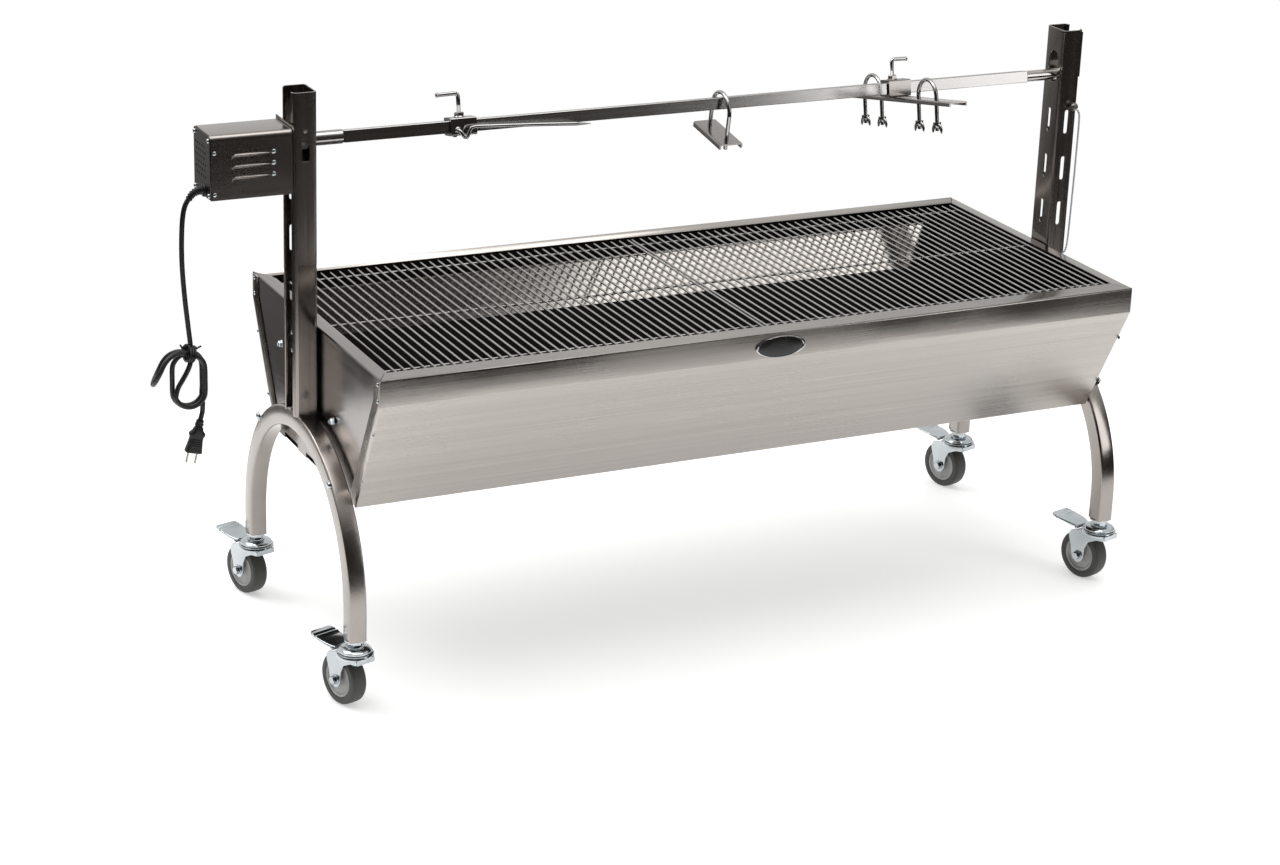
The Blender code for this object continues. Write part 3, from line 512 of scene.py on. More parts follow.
def smooth_route(points, spacing):
    """Evenly spaced points on a smooth curve through the given ones."""
    points = [Vector(point) for point in points]
    ends = [2 * points[0] - points[1], *points, 2 * points[-1] - points[-2]]
    fine = []
    for a, b, c, d in zip(ends, ends[1:], ends[2:], ends[3:]):
        for step in range(24):
            t = step / 24
            fine.append(0.5 * (2 * b + (c - a) * t + (2 * a - 5 * b + 4 * c - d) * t**2
                    + (3 * b - a - 3 * c + d) * t**3))
    fine.append(points[-1])
    lengths = [0.0]
    for a, b in zip(fine, fine[1:]):
        lengths.append(lengths[-1] + (b - a).length)
    count = max(2, round(lengths[-1] / spacing))
    route, i = [], 0
    for step in range(count + 1):
        goal = lengths[-1] * step / count
        while i < len(fine) - 2 and lengths[i + 1] < goal:
            i += 1
        share = (goal - lengths[i]) / max(lengths[i + 1] - lengths[i], 1e-9)
        route.append(fine[i].lerp(fine[i + 1], share))
    return route


def offset_line(points, distance):
    """A flat line moved sideways, to the left of its direction, with its corners kept sharp."""
    result = []
    for i, point in enumerate(points):
        directions = []
        if i > 0:
            directions.append((point - points[i - 1]).normalized())
        if i < len(points) - 1:
            directions.append((points[i + 1] - point).normalized())
        normals = [Vector((-d.y, d.x)) for d in directions]
        bisector = sum(normals, Vector((0, 0))).normalized()
        result.append(point + bisector * (distance / bisector.dot(normals[0])))
    return result


def hexagon(bm, across, height, place):
    """Adds a hexagonal nut or head with chamfered corners, standing on the place's Z = 0."""
    radius = across / math.sqrt(3)
    rings = []
    for shrink, level in ((1.0, 0.0), (1.0, height * 0.82), (0.88, height)):
        turns = [math.radians(60 * k) for k in range(6)]
        flat = [(radius * shrink * math.cos(t), radius * shrink * math.sin(t)) for t in turns]
        rings.append([place @ Vector((x, y, level)) for x, y in flat])
    loft(bm, rings)


def pan_head(bm, radius, height, place, steps=20):
    profile = [(radius, 0.0), (radius, height * 0.35), (radius * 0.9, height * 0.75),
        (radius * 0.62, height), (radius * 0.2, height)]
    lathe(bm, profile + [(0.0, height * 0.72)], steps, place)


def threaded(points, radius, start, end, pitch=0.0011, depth=0.00022):
    """Points and radii of a rod along the points, with thread over a stretch near each end."""
    route = smooth_route(points, pitch / 2)
    total = len(route) - 1
    radii = []
    for i in range(total + 1):
        from_start, from_end = i * pitch / 2, (total - i) * pitch / 2
        cut_here = from_start < start or from_end < end
        radii.append(radius - (depth if cut_here and i % 2 else 0.0))
    return route, radii


# ---------------------------------------------------------------- free cord

CORD_Y = -0.007
GLAND_ROUTE = ((-0.7538, 0.2088), (-0.7610, 0.2088), (-0.7690, 0.2048), (-0.7748, 0.1980))
CORD_ROUTE = ((-0.7755, 0.1972), (-0.7795, 0.1905), (-0.7825, 0.1800), (-0.7845, 0.1650),
    (-0.7857, 0.1420), (-0.7860, 0.1170), (-0.7853, 0.0950), (-0.7840, 0.0740), (-0.7821, 0.0500),
    (-0.7800, 0.0290), (-0.7782, 0.0110), (-0.7768, -0.0020), (-0.7762, -0.0120))
TAIL_ROUTE = ((-0.7606, -0.0935), (-0.7605, -0.1000), (-0.7608, -0.1050), (-0.7617, -0.1100),
    (-0.7640, -0.1180))
HANK_CENTRE = (-0.7800, -0.0580)
HANK_RADIUS = 0.0214
HANK_STRAIGHT = 0.0161
LOBE_ROUTE = ((-0.7800, -0.0195), (-0.7930, -0.0170), (-0.8050, -0.0205), (-0.8140, -0.0290),
    (-0.8200, -0.0400))
LOBE_ACROSS = Vector((0.25, 0.94, -0.20)).normalized()
LOBE_HALF = 0.0214
PLUG = shifted(-0.76415, CORD_Y, RIM_Z - 0.1184) @ Matrix.Rotation(math.radians(13.8), 4, "Y")


def cord_points(route, aside=0.0):
    return [Vector((x, CORD_Y + aside, RIM_Z + z)) for x, z in route]


def hank_turn(start, end, aside, wider=0.0):
    """Part of a turn of the hank: angles in degrees, 0 at its right side and 90 at its top."""
    radius, straight = HANK_RADIUS + wider, HANK_STRAIGHT
    steps = max(2, round(abs(end - start) / 15))
    spots = []
    for step in range(steps + 1):
        turn = math.radians(start + (end - start) * step / steps)
        across, rise = radius * math.cos(turn), math.sin(turn)
        if abs(rise) > 1e-6:
            spots.append((across, radius * rise + math.copysign(straight, rise)))
            continue
        upward = math.copysign(0.8 * straight, across * (end - start))
        levels = (-upward, 0, upward)
        spots += [(across, level) for level in levels[(step == 0) : 2 + (step < steps)]]
    middle = Vector((HANK_CENTRE[0], CORD_Y + aside, RIM_Z + HANK_CENTRE[1]))
    return [middle + Vector((x, 0, z)) for x, z in spots]


def lobe_points():
    """The doubled strand that stands out to the left of the tie, round a fold at its tip."""
    route = cord_points(LOBE_ROUTE)
    shares = (0.30, 0.46, 0.68, 0.88, 1.0)
    out = [p + LOBE_ACROSS * LOBE_HALF * s for p, s in zip(route, shares)]
    back = [p - LOBE_ACROSS * LOBE_HALF * s for p, s in zip(route, shares)]
    ahead = (route[-1] - route[-2]).normalized()
    tip = []
    for step in range(1, 8):
        turn = math.pi * step / 8
        tip.append(route[-1] + LOBE_HALF * (math.cos(turn) * LOBE_ACROSS + math.sin(turn) * ahead))
    return out, tip, back[::-1]


def cord_route():
    """The cord's middle line from the strain relief to the plug."""
    upper = cord_points(CORD_ROUTE)
    through = cord_points(((-0.7785, -0.0290), (-0.7830, -0.0420), (-0.7905, -0.0550),
            (-0.7972, -0.0660)), -0.0070)
    first = hank_turn(195, 420, -0.0075)
    second = hank_turn(435, 795, 0.0, 0.0010)
    second = [p + Vector((0, 0.0075 * i / len(second), 0)) for i, p in enumerate(second)]
    out, tip, back = lobe_points()
    down = hank_turn(75, -15, 0.0060, -0.0002)
    tail = cord_points(TAIL_ROUTE)
    ease = cord_points(((-0.7602, -0.0855),), 0.0035)
    return [*upper, *through, *first, *second, *out, *tip, *back, *down, *ease, *tail]


def make_cord():
    points = smooth_route([CENTRE + p for p in cord_route()], 0.0035)
    curve = bpy.data.curves.new("power_cord", "CURVE")
    curve.dimensions, curve.bevel_depth, curve.bevel_resolution = "3D", 0.0035, 4
    curve.use_fill_caps = True
    spline = curve.splines.new("POLY")
    spline.points.add(len(points) - 1)
    for spot, point in zip(spline.points, points):
        spot.co = (*point, 1)
    curve.materials.append(RUBBER)
    cord = link("power_cord", curve)
    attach(cord, ROOT)
    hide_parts("cord_upper", "cord_hank", "cord_tail")
    length = sum((b - a).length for a, b in zip(points, points[1:]))
    tuple(points[0])
    make_relief()
    make_tie()
    make_plug()
    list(make_blades())


def make_relief():
    """The tapered, ribbed strain relief, with its flange on the motor's end plate."""
    route = smooth_route(cord_points(GLAND_ROUTE), 0.0006)
    count = len(route) - 1
    radii = []
    for i in range(count + 1):
        share = i / count
        radius = 0.0066 * (1 - share) + 0.0046 * share
        ribbed = 0.25 < share < 0.92 and (i % 6) < 2
        radii.append(radius - (0.0010 if ribbed else 0.0))
    bm = bmesh.new()
    tube(bm, route, 0.006, 20, radii)
    start = shifted(-0.7530, CORD_Y, RIM_Z + 0.2088) @ ALONG["-X"]
    lathe(bm, [(0, 0), (0.0088, 0), (0.0092, 0.0006), (0.0088, 0.0022), (0.0066, 0.0030),
            (0, 0.0030)], 24, start)
    return piece("cord_relief", bm, RUBBER, replaces=("cord_gland",))


def make_tie():
    """Three turns of a thin black tie round the hank's neck, and its two twisted ends."""
    bm = bmesh.new()
    middle = Vector((-0.7790, CORD_Y - 0.0005, RIM_Z - 0.0200))
    along = Vector((0.94, 0, -0.34))
    up = Vector((0.34, 0, 0.94))
    side = Vector((0, 1, 0))
    route = []
    for step in range(85):
        turn = math.tau * 3.3 * step / 84
        place = middle + along * (0.0105 * step / 84 - 0.004)
        route.append(place + side * 0.0165 * math.cos(turn) + up * 0.0108 * math.sin(turn))
    tube(bm, route, 0.0016, 8)
    for sign in (-1, 1):
        base = route[-1] if sign > 0 else route[0]
        end = [base, base + up * 0.0022 + along * 0.0018 * sign,
            base + up * 0.0050 + along * 0.0050 * sign]
        tube(bm, smooth_route(end, 0.002), 0.0013, 8)
    return piece("cord_tie", bm, RUBBER)


def make_plug():
    """A flat two-blade plug: ribbed neck, finger wings and a body that widens to its face."""
    sections = [(0.0, 0.0046, 0.0046, 2.0), (-0.0015, 0.0056, 0.0054, 2.0),
        (-0.0045, 0.0050, 0.0048, 2.0), (-0.0050, 0.0060, 0.0056, 2.0),
        (-0.0080, 0.0062, 0.0058, 2.0), (-0.0085, 0.0052, 0.0050, 2.0),
        (-0.0110, 0.0056, 0.0054, 2.0), (-0.0115, 0.0068, 0.0060, 2.2),
        (-0.0155, 0.0078, 0.0062, 2.4), (-0.0185, 0.0108, 0.0062, 2.8),
        (-0.0205, 0.0118, 0.0062, 3.0), (-0.0228, 0.0114, 0.0062, 3.2),
        (-0.0250, 0.0098, 0.0060, 3.4), (-0.0300, 0.0098, 0.0062, 3.6),
        (-0.0380, 0.0108, 0.0066, 4.0), (-0.0450, 0.0118, 0.0069, 4.5),
        (-0.0470, 0.0121, 0.0070, 4.5), (-0.0478, 0.0116, 0.0066, 4.5),
        (-0.0480, 0.0108, 0.0060, 4.5)]
    rings = []
    for level, half_x, half_y, power in sections:
        ring = []
        for k in range(36):
            turn = math.tau * k / 36
            c, s = math.cos(turn), math.sin(turn)
            x = math.copysign(abs(c) ** (2 / power), c) * half_x
            y = math.copysign(abs(s) ** (2 / power), s) * half_y
            ring.append((x, y, level))
        rings.append(ring)
    bm = bmesh.new()
    loft(bm, rings)
    for level in (-0.0295, -0.0325, -0.0355, -0.0385):
        for side in (-1, 1):
            block(bm, (-0.0062, side * 0.0066 - 0.0009, level),
                (0.0062, side * 0.0066 + 0.0009, level + 0.0014))
    return piece("plug_shell", bm, RUBBER, place=PLUG, replaces=("plug_body",),
        sharp=50)


def make_blades():
    made = []
    for name, x in (("left", -0.00635), ("right", 0.00635)):
        bm = bmesh.new()
        outline = [(-0.0032, 0.0), (0.0032, 0.0), (0.0032, -0.0140), (0.0018, -0.0157),
            (-0.0018, -0.0157), (-0.0032, -0.0140)]
        cutout(bm, [outline, circle(0.0011, (0, -0.0118), 12)], 0.0015,
            PLUG @ shifted(x, 0, -0.0483) @ FACING_X)
        made.append(piece(f"plug_contact_{name}", bm, STEEL["brass"],
                replaces=(f"plug_blade_{name}",), edge=0.0003))
    return made


make_cord()

# ---------------------------------------------------------------- trough and grates

HALF_LENGTH = 0.597
WALL = (Vector((-0.258, RIM_Z)), Vector((-0.258, RIM_Z - 0.038)), Vector((-0.166, RIM_Z - 0.2145)))
LIP = Vector((-0.228, RIM_Z))
FLANGE = Vector((-0.151, RIM_Z - 0.2145))
SHEET = 0.0012
TAB = 0.0245
PAN_GAP = 0.0065
PAN_EDGE_Z = RIM_Z - 0.100
GRATE_RODS = 41
ROD_RADIUS = 0.0017
CROSS_RADIUS = 0.0015


def side_wall(name, node_name, turn):
    """One long wall: rim lip with mitred ends, fascia, slope, flange and riveted corner tabs."""
    rows = folded([LIP, *WALL, FLANGE], 0.0030, 4)
    radius = 0.0020
    wall_end, mitre = HALF_LENGTH, 0.0185
    bm = bmesh.new()
    ends = []
    for p in rows:
        y, z = p.x, p.y
        if z > RIM_Z - 0.0028 and y > -0.2575:
            ends.append(wall_end - mitre * min(1, (y + 0.258) / 0.030))
        elif z < RIM_Z - 0.2140 and y > -0.1655:
            ends.append(HALF_LENGTH - 0.005)
        else:
            ends.append(wall_end - radius)
    sheet(bm, [[(-end, p.x, p.y), (end, p.x, p.y)] for p, end in zip(rows, ends)])
    wall_rows = [p for p, end in zip(rows, ends) if end == wall_end - radius]
    inner = offset_line(list(WALL), TAB)
    for side in (-1, 1):
        columns = []
        for step in range(6):
            turned = math.pi / 2 * step / 5
            depth = radius * (1 - math.cos(turned))
            x = wall_end - radius + radius * math.sin(turned)
            columns.append([(side * x, *inward(p, depth)) for p in wall_rows])
        columns.append([(side * wall_end, *tab_point(p, inner)) for p in wall_rows])
        sheet(bm, columns if side > 0 else columns[::-1])
    bmesh.ops.remove_doubles(bm, verts=bm.verts, dist=1e-5)
    for face in bm.faces:
        middle = face.calc_center_median()
        outward = Vector((0, -1, 0.3)) if abs(middle.x) < wall_end - 1e-4 else Vector(
            (middle.x, 0, 0))
        if middle.z < RIM_Z - 0.2143:
            outward = Vector((0, 0, -1))
        if face.normal.dot(outward) < 0:
            face.normal_flip()
    return piece(name, bm, STEEL["panel"], replaces=(node_name,), place=turn,
        wall=SHEET, sharp=30)


def inward(point, depth):
    """A point of the wall moved into the trough, square to the wall there."""
    if point.y > WALL[1].y - 0.0001:
        return point.x + depth, point.y
    slope = (WALL[2] - WALL[1]).normalized()
    return point.x - slope.y * depth, point.y + slope.x * depth


def tab_point(point, inner):
    """Where a tab's free edge lies beside a point of the wall."""
    if point.y > WALL[1].y - 0.004 and point.y < WALL[1].y + 0.004:
        return inner[1].x, inner[1].y
    if point.y > WALL[1].y:
        return inner[0].x, min(point.y, RIM_Z - 0.0006)
    share = (WALL[1].y - point.y) / (WALL[1].y - WALL[2].y)
    spot = inner[1].lerp(inner[2], share)
    return spot.x, spot.y


def end_wall(name, node_name, turn):
    """One end wall: a sheet between the long walls, its rim lip, and the vents along its foot."""
    inner = offset_line(list(WALL), SHEET + 0.0003)
    base = RIM_Z - 0.2145 + SHEET + 0.0003
    slope = (inner[2] - inner[1]).normalized()
    foot = inner[1] + slope * ((base - inner[1].y) / slope.y)
    front = [(-0.2560, RIM_Z - 0.004), (inner[1].x, inner[1].y), (foot.x, foot.y)]
    vents = []
    for low, high in ((-0.110, -0.054), (-0.018, 0.035), (0.069, 0.124)):
        vents += [(low, base), (low, base + 0.0085), (high, base + 0.0085), (high, base)]
    outline = front + vents + [(-y, z) for y, z in reversed(front)]
    outer = -HALF_LENGTH + SHEET + 0.0003
    bm = bmesh.new()
    prism(bm, outline, SHEET, shifted(outer + SHEET / 2, 0, 0) @ FACING_X)
    lip = folded([(outer, RIM_Z - 0.004), (outer, RIM_Z), (-HALF_LENGTH + 0.019, RIM_Z)], 0.0022, 4)
    rows = []
    for p in lip:
        half = 0.2535 - 0.0273 * min(1, max(0, (p.x - outer) / 0.0175))
        rows.append([(p.x, -half, p.y), (p.x, half, p.y)])
    under = [[(x + 0.0001, y, z - SHEET) for x, y, z in row] for row in reversed(rows)]
    loop = rows + under
    made = [[bm.verts.new(point) for point in row] for row in loop]
    for a, b in zip(made, made[1:] + made[:1]):
        bm.faces.new((a[0], a[1], b[1], b[0]))
    for end in (0, 1):
        for i in range(len(rows) - 1):
            mirror = len(made) - 1 - i
            bm.faces.new((made[i][end], made[i + 1][end], made[mirror - 1][end], made[mirror][end]))
    return piece(name, bm, STEEL["end"], replaces=(node_name,), place=turn,
        sharp=30)


def trough_rivets():
    bm = bmesh.new()
    for turn in (Matrix(), HALF_TURN):
        for y, z in ((-0.2490, -0.0075), (-0.2490, -0.0310), (-0.2340, -0.0850),
            (-0.1905, -0.1680)):
            for side in (-1, 1):
                place = turn @ shifted(-HALF_LENGTH - 0.0001, side * y, RIM_Z + z) @ ALONG["-X"]
                lathe(bm, [(0.0031, 0), (0.0029, 0.0006), (0.0018, 0.0013), (0, 0.0016)], 16, place)
    piece("trough_rivets", bm, STEEL["zinc"])


def grate(name, node_name, low, high):
    """Round rods along Y, welded on three thinner cross rods."""
    bm = bmesh.new()
    pitch = (high - low - 0.004) / (GRATE_RODS - 1)
    level = RIM_Z - 0.0024 - ROD_RADIUS
    for i in range(GRATE_RODS):
        x = low + 0.002 + pitch * i
        tube(bm, [(x, y, level) for y in (-0.2255, 0.0, 0.2255)], ROD_RADIUS, 10)
    for y in (-0.2050, 0.0, 0.2050):
        below = level - ROD_RADIUS - CROSS_RADIUS + 0.0003
        tube(bm, [(x, y, below) for x in (low + 0.0004, high - 0.0004)], CROSS_RADIUS, 10)
    piece(name, bm, STEEL["rod"], own=node_name, sharp=50)


def charcoal_pan():
    """A black pan whose walls follow the trough's slopes to about half its height."""
    slope = (WALL[1] - WALL[2]).normalized()
    foot = offset_line(list(WALL), PAN_GAP)[2] + slope * 0.0050
    edge = foot + slope * ((PAN_EDGE_Z - foot.y) / slope.y)
    half_y = (-foot.x, -edge.x)
    rings = []
    levels = [(0.5690, half_y[0], foot.y), (0.5735, half_y[1], edge.y)]
    levels += [(0.5750, half_y[1] + 0.0015, z) for z in (edge.y, edge.y - 0.0030)]
    for half_x, y, z in levels:
        rings.append([(x, y_, z) for x, y_ in rounded_box(2 * half_x, 2 * y, 0.012, steps=4)])
    bm = bmesh.new()
    made = [[bm.verts.new(point) for point in ring] for ring in rings]
    bm.faces.new(made[0])
    for low, high in zip(made, made[1:]):
        for k in range(len(low)):
            after = (k + 1) % len(low)
            bm.faces.new((low[k], low[after], high[after], high[k]))
    piece("charcoal_pan", bm, STEEL["pan"], own="charcoal_tray", wall=0.0010)


def make_trough():
    side_wall("front_wall", "front_panel", Matrix())
    side_wall("back_wall", "back_panel", HALF_TURN)
    end_wall("left_wall", "left_end_panel", Matrix())
    end_wall("right_wall", "right_end_panel", HALF_TURN)
    trough_rivets()
    charcoal_pan()
    grate("grate_rods_left", "grate_left", -0.576, -0.0015)
    grate("grate_rods_right", "grate_right", 0.0015, 0.576)
    make_badge()


def make_badge():
    """A blank oval badge: a dark enamel dome in a raised pale rim."""
    place = shifted(0.0036, -0.2583, RIM_Z - 0.0214) @ Matrix.Rotation(math.pi / 2, 4, "X")
    oval = Matrix.Diagonal((0.0395, 0.0160, 1, 1))
    dome = [(0.93, 0.0), (0.93, 0.0010), (0.80, 0.0015), (0.5, 0.0018), (0.2, 0.0019), (0, 0.0019)]
    ring = [(0.90, 0.0), (0.90, 0.0014), (0.92, 0.0020), (0.97, 0.0020), (1.0, 0.0015), (1.0, 0.0)]
    bm = bmesh.new()
    lathe(bm, dome, 64, place @ oval)
    piece("badge_face", bm, ENAMEL, replaces=("badge",))
    bm = bmesh.new()
    lathe(bm, ring, 64, place @ oval, closed=True)
    piece("badge_rim", bm, STEEL["polished"])


make_trough()

# ---------------------------------------------------------------- legs and posts

LEG_X = 0.613
POST_SIDE = 0.0215
SLOT = (0.0068, 0.037)
SLOT_LEVELS = (0.049, 0.121, 0.194)


def post_slots(x):
    """The upright slots one above another, at x across the sheet that they are cut in."""
    return [upright_slot(*SLOT, (x, RIM_Z + h)) for h in SLOT_LEVELS]


def arch(name, node_name, x):
    """A bent square tube with rounded edges, its capped feet on the caster stems."""
    centre_z, radius = RIM_Z - 0.350, 0.2075
    path = [((0, -radius, z), (0, -1, 0)) for z in (0.104, 0.118, 0.132)]
    for step in range(65):
        turn = math.pi * (1 - step / 64)
        out = (0, math.cos(turn), math.sin(turn))
        path.append(((0, radius * out[1], centre_z + radius * out[2]), out))
    path += [((0, radius, z), (0, 1, 0)) for z in (0.132, 0.118, 0.104)]
    section = rounded_box(0.025, 0.029, 0.0032, steps=4)
    bm = bmesh.new()
    grain = bm.loops.layers.uv.new("grain")
    rings, along, last = [], 0.0, None
    for spot, out in path:
        spot, out = Vector(spot), Vector(out)
        along += (spot - last).length if last else 0.0
        last = spot
        rings.append((along, [bm.verts.new(spot + Vector((a, 0, 0)) + out * b) for a,
                    b in section]))
    count = len(section)
    for (low, a), (high, b) in zip(rings, rings[1:]):
        for k in range(count):
            after = (k + 1) % count
            face = bm.faces.new((a[k], a[after], b[after], b[k]))
            for loop, uv in zip(face.loops, ((k, low), (k + 1, low), (k + 1, high), (k, high))):
                loop[grain].uv = (0.108 * uv[0] / count, uv[1])
    bm.faces.new(rings[0][1])
    bm.faces.new(rings[-1][1])
    piece(name, bm, STEEL["arch"], replaces=(node_name,), place=shifted(x, 0, 0),
        sharp=45)


def post(name, node_name, turn, flange_cuts):
    """A channel with lipped flanges and rounded folds, its web turned to the trough."""
    open_x, side, web = -0.631, POST_SIDE, -0.600
    front = [(open_x, -side + 0.0065), (open_x + 0.0012, -side + 0.0014), (open_x + 0.0042, -side),
        (web, -side)]
    section = folded(front + [(x, -y) for x, y in reversed(front)], 0.0030, 4)
    levels = [0.3663 + (0.830 - 0.3663) * k / 6 for k in range(7)]
    bm = bmesh.new()
    sheet(bm, [[(p.x, p.y, z) for z in levels] for p in section])
    cutter = bmesh.new()
    slots = post_slots(0)
    slots.append(upright_slot(0.024, 0.049, (0, SPIT_Z + 0.0125), 12))
    cutout(cutter, slots, 0.012, shifted(web, 0, 0) @ FACING_X)
    for outline, y, depth in flange_cuts:
        cutout(cutter, [outline], depth, shifted(0, y, 0) @ FACING_Y)
    bm = carved(bm, cutter, 0.002)
    piece(name, bm, STEEL["post"], replaces=(node_name,), place=turn,
        edge=0.0004, sharp=35)


def make_legs():
    arch("left_arch_tube", "left_leg_arch", -LEG_X)
    arch("right_arch_tube", "right_leg_arch", LEG_X)
    window = rounded_box(0.011, 0.030, 0.001, (-0.6145, RIM_Z + 0.255))
    dot = circle(0.0025, (-0.6145, RIM_Z + 0.282), 16)
    left_cuts = [(window, -POST_SIDE, 0.012), (dot, -POST_SIDE, 0.012)]
    left_cuts += [(slot, POST_SIDE, 0.012) for slot in post_slots(-0.6190)]
    post("left_channel", "left_post", Matrix(), left_cuts)
    right_cuts = [(slot, 0, 0.055) for slot in post_slots(-0.6145)]
    right_cuts.append((circle(0.0036, (-0.621, RIM_Z + 0.219), 20), POST_SIDE, 0.012))
    post("right_channel", "right_post", HALF_TURN, right_cuts)
    leg_fasteners()


def leg_fasteners():
    """Bolts, nuts and wing nuts that hold the posts and arches to the end walls."""
    bm = bmesh.new()
    for turn in (Matrix(), HALF_TURN):
        for y, z in ((0.130, -0.071), (-0.0816, -0.117)):
            place = turn @ shifted(-0.5972, y, RIM_Z + z) @ ALONG["-X"]
            lathe(bm, [(0.0062, 0), (0.0062, 0.0010), (0, 0.0010)], 24, place)
            hexagon(bm, 0.0080, 0.0040, place @ shifted(0, 0, 0.0010))
            lathe(bm, [(0.0024, 0.004), (0.0024, 0.0066), (0.0018, 0.0074), (0, 0.0074)], 16, place)
        for y in (-0.1430, 0.1500):
            spot = turn @ shifted(-LEG_X - 0.0125, y, RIM_Z - 0.1850) @ ALONG["-X"]
            lathe(bm, [(0.0066, 0), (0.0066, 0.0010), (0, 0.0010)], 24, spot)
            pan_head(bm, 0.0054, 0.0032, spot @ shifted(0, 0, 0.0010))
        for z in (-0.010, -0.036):
            place = turn @ shifted(-0.6021, 0.0020, RIM_Z + z) @ ALONG["-X"]
            lathe(bm, [(0.0080, 0), (0.0080, 0.0012), (0, 0.0012)], 24, place)
            tube(bm, [place @ Vector((0, 0, h)) for h in (0, 0.013, 0.0255)], 0.0029, 12)
            wings(bm, place @ shifted(0, 0, 0.0014) @ Matrix.Rotation(math.radians(62 + 900 * z), 4,
                    "Z"), 1.0)
    piece("frame_fasteners", bm, STEEL["zinc"], sharp=35)


def wings(bm, place, size):
    """A wing nut standing on the place's Z = 0: a round hub with two rising wings."""
    hub = [(0.0058, 0), (0.0062, 0.0010), (0.0052, 0.0060), (0.0044, 0.0082), (0.0030, 0.0082),
        (0.0030, 0)]
    lathe(bm, [(r * size, h * size) for r, h in hub], 24, place, closed=True)
    for side in (-1, 1):
        rings = []
        spine = ((0.0040, 0.0030, 0.0024, 0.0028), (0.0068, 0.0042, 0.0018, 0.0034),
            (0.0098, 0.0075, 0.0013, 0.0042), (0.0118, 0.0115, 0.0011, 0.0040),
            (0.0126, 0.0142, 0.0009, 0.0030), (0.0128, 0.0158, 0.0005, 0.0012))
        for x, z, thick, wide in spine:
            ring = []
            for k in range(12):
                turn = math.tau * k / 12
                lean = Vector((math.cos(turn) * wide * 0.72, math.sin(turn) * thick,
                        -math.cos(turn) * wide * 0.55))
                point = (Vector((x, 0, z)) + lean) * size
                ring.append(place @ Vector((side * point.x, point.y, point.z)))
            rings.append(ring)
        loft(bm, rings)


make_legs()

# ---------------------------------------------------------------- motor

BOX_X = (-0.752, -0.637)
BOX_HALF = 0.0345
BOX_Z = (RIM_Z + 0.200, RIM_Z + 0.2895)


def make_motor():
    low, high = BOX_Z
    corner = 0.0085
    section = [Vector((-BOX_HALF, low))]
    section += [Vector(p) for p in arc((-BOX_HALF + corner, high - corner), corner, 180, 90, 8)]
    section += [Vector(p) for p in arc((BOX_HALF - corner, high - corner), corner, 90, 0, 8)]
    section.append(Vector((BOX_HALF, low)))
    bm = bmesh.new()
    rows = [[(x, p.x, p.y) for x in BOX_X] for p in section + section[:1]]
    sheet(bm, rows)
    bmesh.ops.remove_doubles(bm, verts=bm.verts, dist=1e-6)
    if max(bm.faces, key=lambda f: f.calc_center_median().z).normal.z < 0:
        bmesh.ops.reverse_faces(bm, faces=bm.faces)
    shell = carved(bm, box_cutter(), SHEET)
    piece("motor_shell", shell, STEEL["housing"], replaces=("motor_housing",),
        edge=0.0003, sharp=30)
    make_louvres()
    make_end_plate()
    make_bracket()
    make_rocker()


def box_cutter():
    """The housing's one opening: the switch's window in its back wall."""
    cutter = bmesh.new()
    cutout(cutter, [rounded_box(0.0186, 0.0126, 0.0008, (-0.690, RIM_Z + 0.247))], 0.006,
        shifted(0, BOX_HALF, 0) @ FACING_Y)
    return cutter


def make_louvres():
    """Pressed louvres with a screw at each: three on the front, two on the back."""
    front = ("front", shifted(0, -BOX_HALF, 0), (0.2610, 0.2455, 0.2300))
    back = ("back", shifted(-1.3890, BOX_HALF, 0) @ HALF_TURN, (0.2260, 0.2160))
    for name, face, levels in (front, back):
        bm = bmesh.new()
        screws = bmesh.new()
        for level in levels:
            rings = []
            for k in range(25):
                share = k / 24
                x = -0.7235 + 0.0560 * share
                swell = math.sin(math.pi * min(1, 0.10 + share * 0.92)) ** 0.5 * (1 - 0.35 * share)
                hook = 0.0035 * max(0, 1 - share / 0.12) ** 1.6
                ring = []
                for j in range(9):
                    turn = math.pi * j / 8
                    high = 0.0058 * swell
                    out = 0.0030 * swell * math.sin(turn) ** 0.8 * (1.25 - 0.5 * (j / 8))
                    z = RIM_Z + level - hook + high * (0.35 - j / 8)
                    ring.append((x, -0.0001 - out, z))
                for j in range(7, 0, -1):
                    z = RIM_Z + level - hook + 0.0058 * swell * (0.35 - j / 8)
                    ring.append((x, 0.0004, z))
                rings.append(ring)
            loft(bm, rings)
            place = shifted(-0.6640, -0.0001, RIM_Z + level + 0.0010) @ ALONG["-Y"]
            pan_head(screws, 0.0034, 0.0024, place)
        piece(f"louvres_{name}", bm, STEEL["housing"], place=face, sharp=50)
        piece(f"louvre_screws_{name}", screws, STEEL["zinc"], place=face)


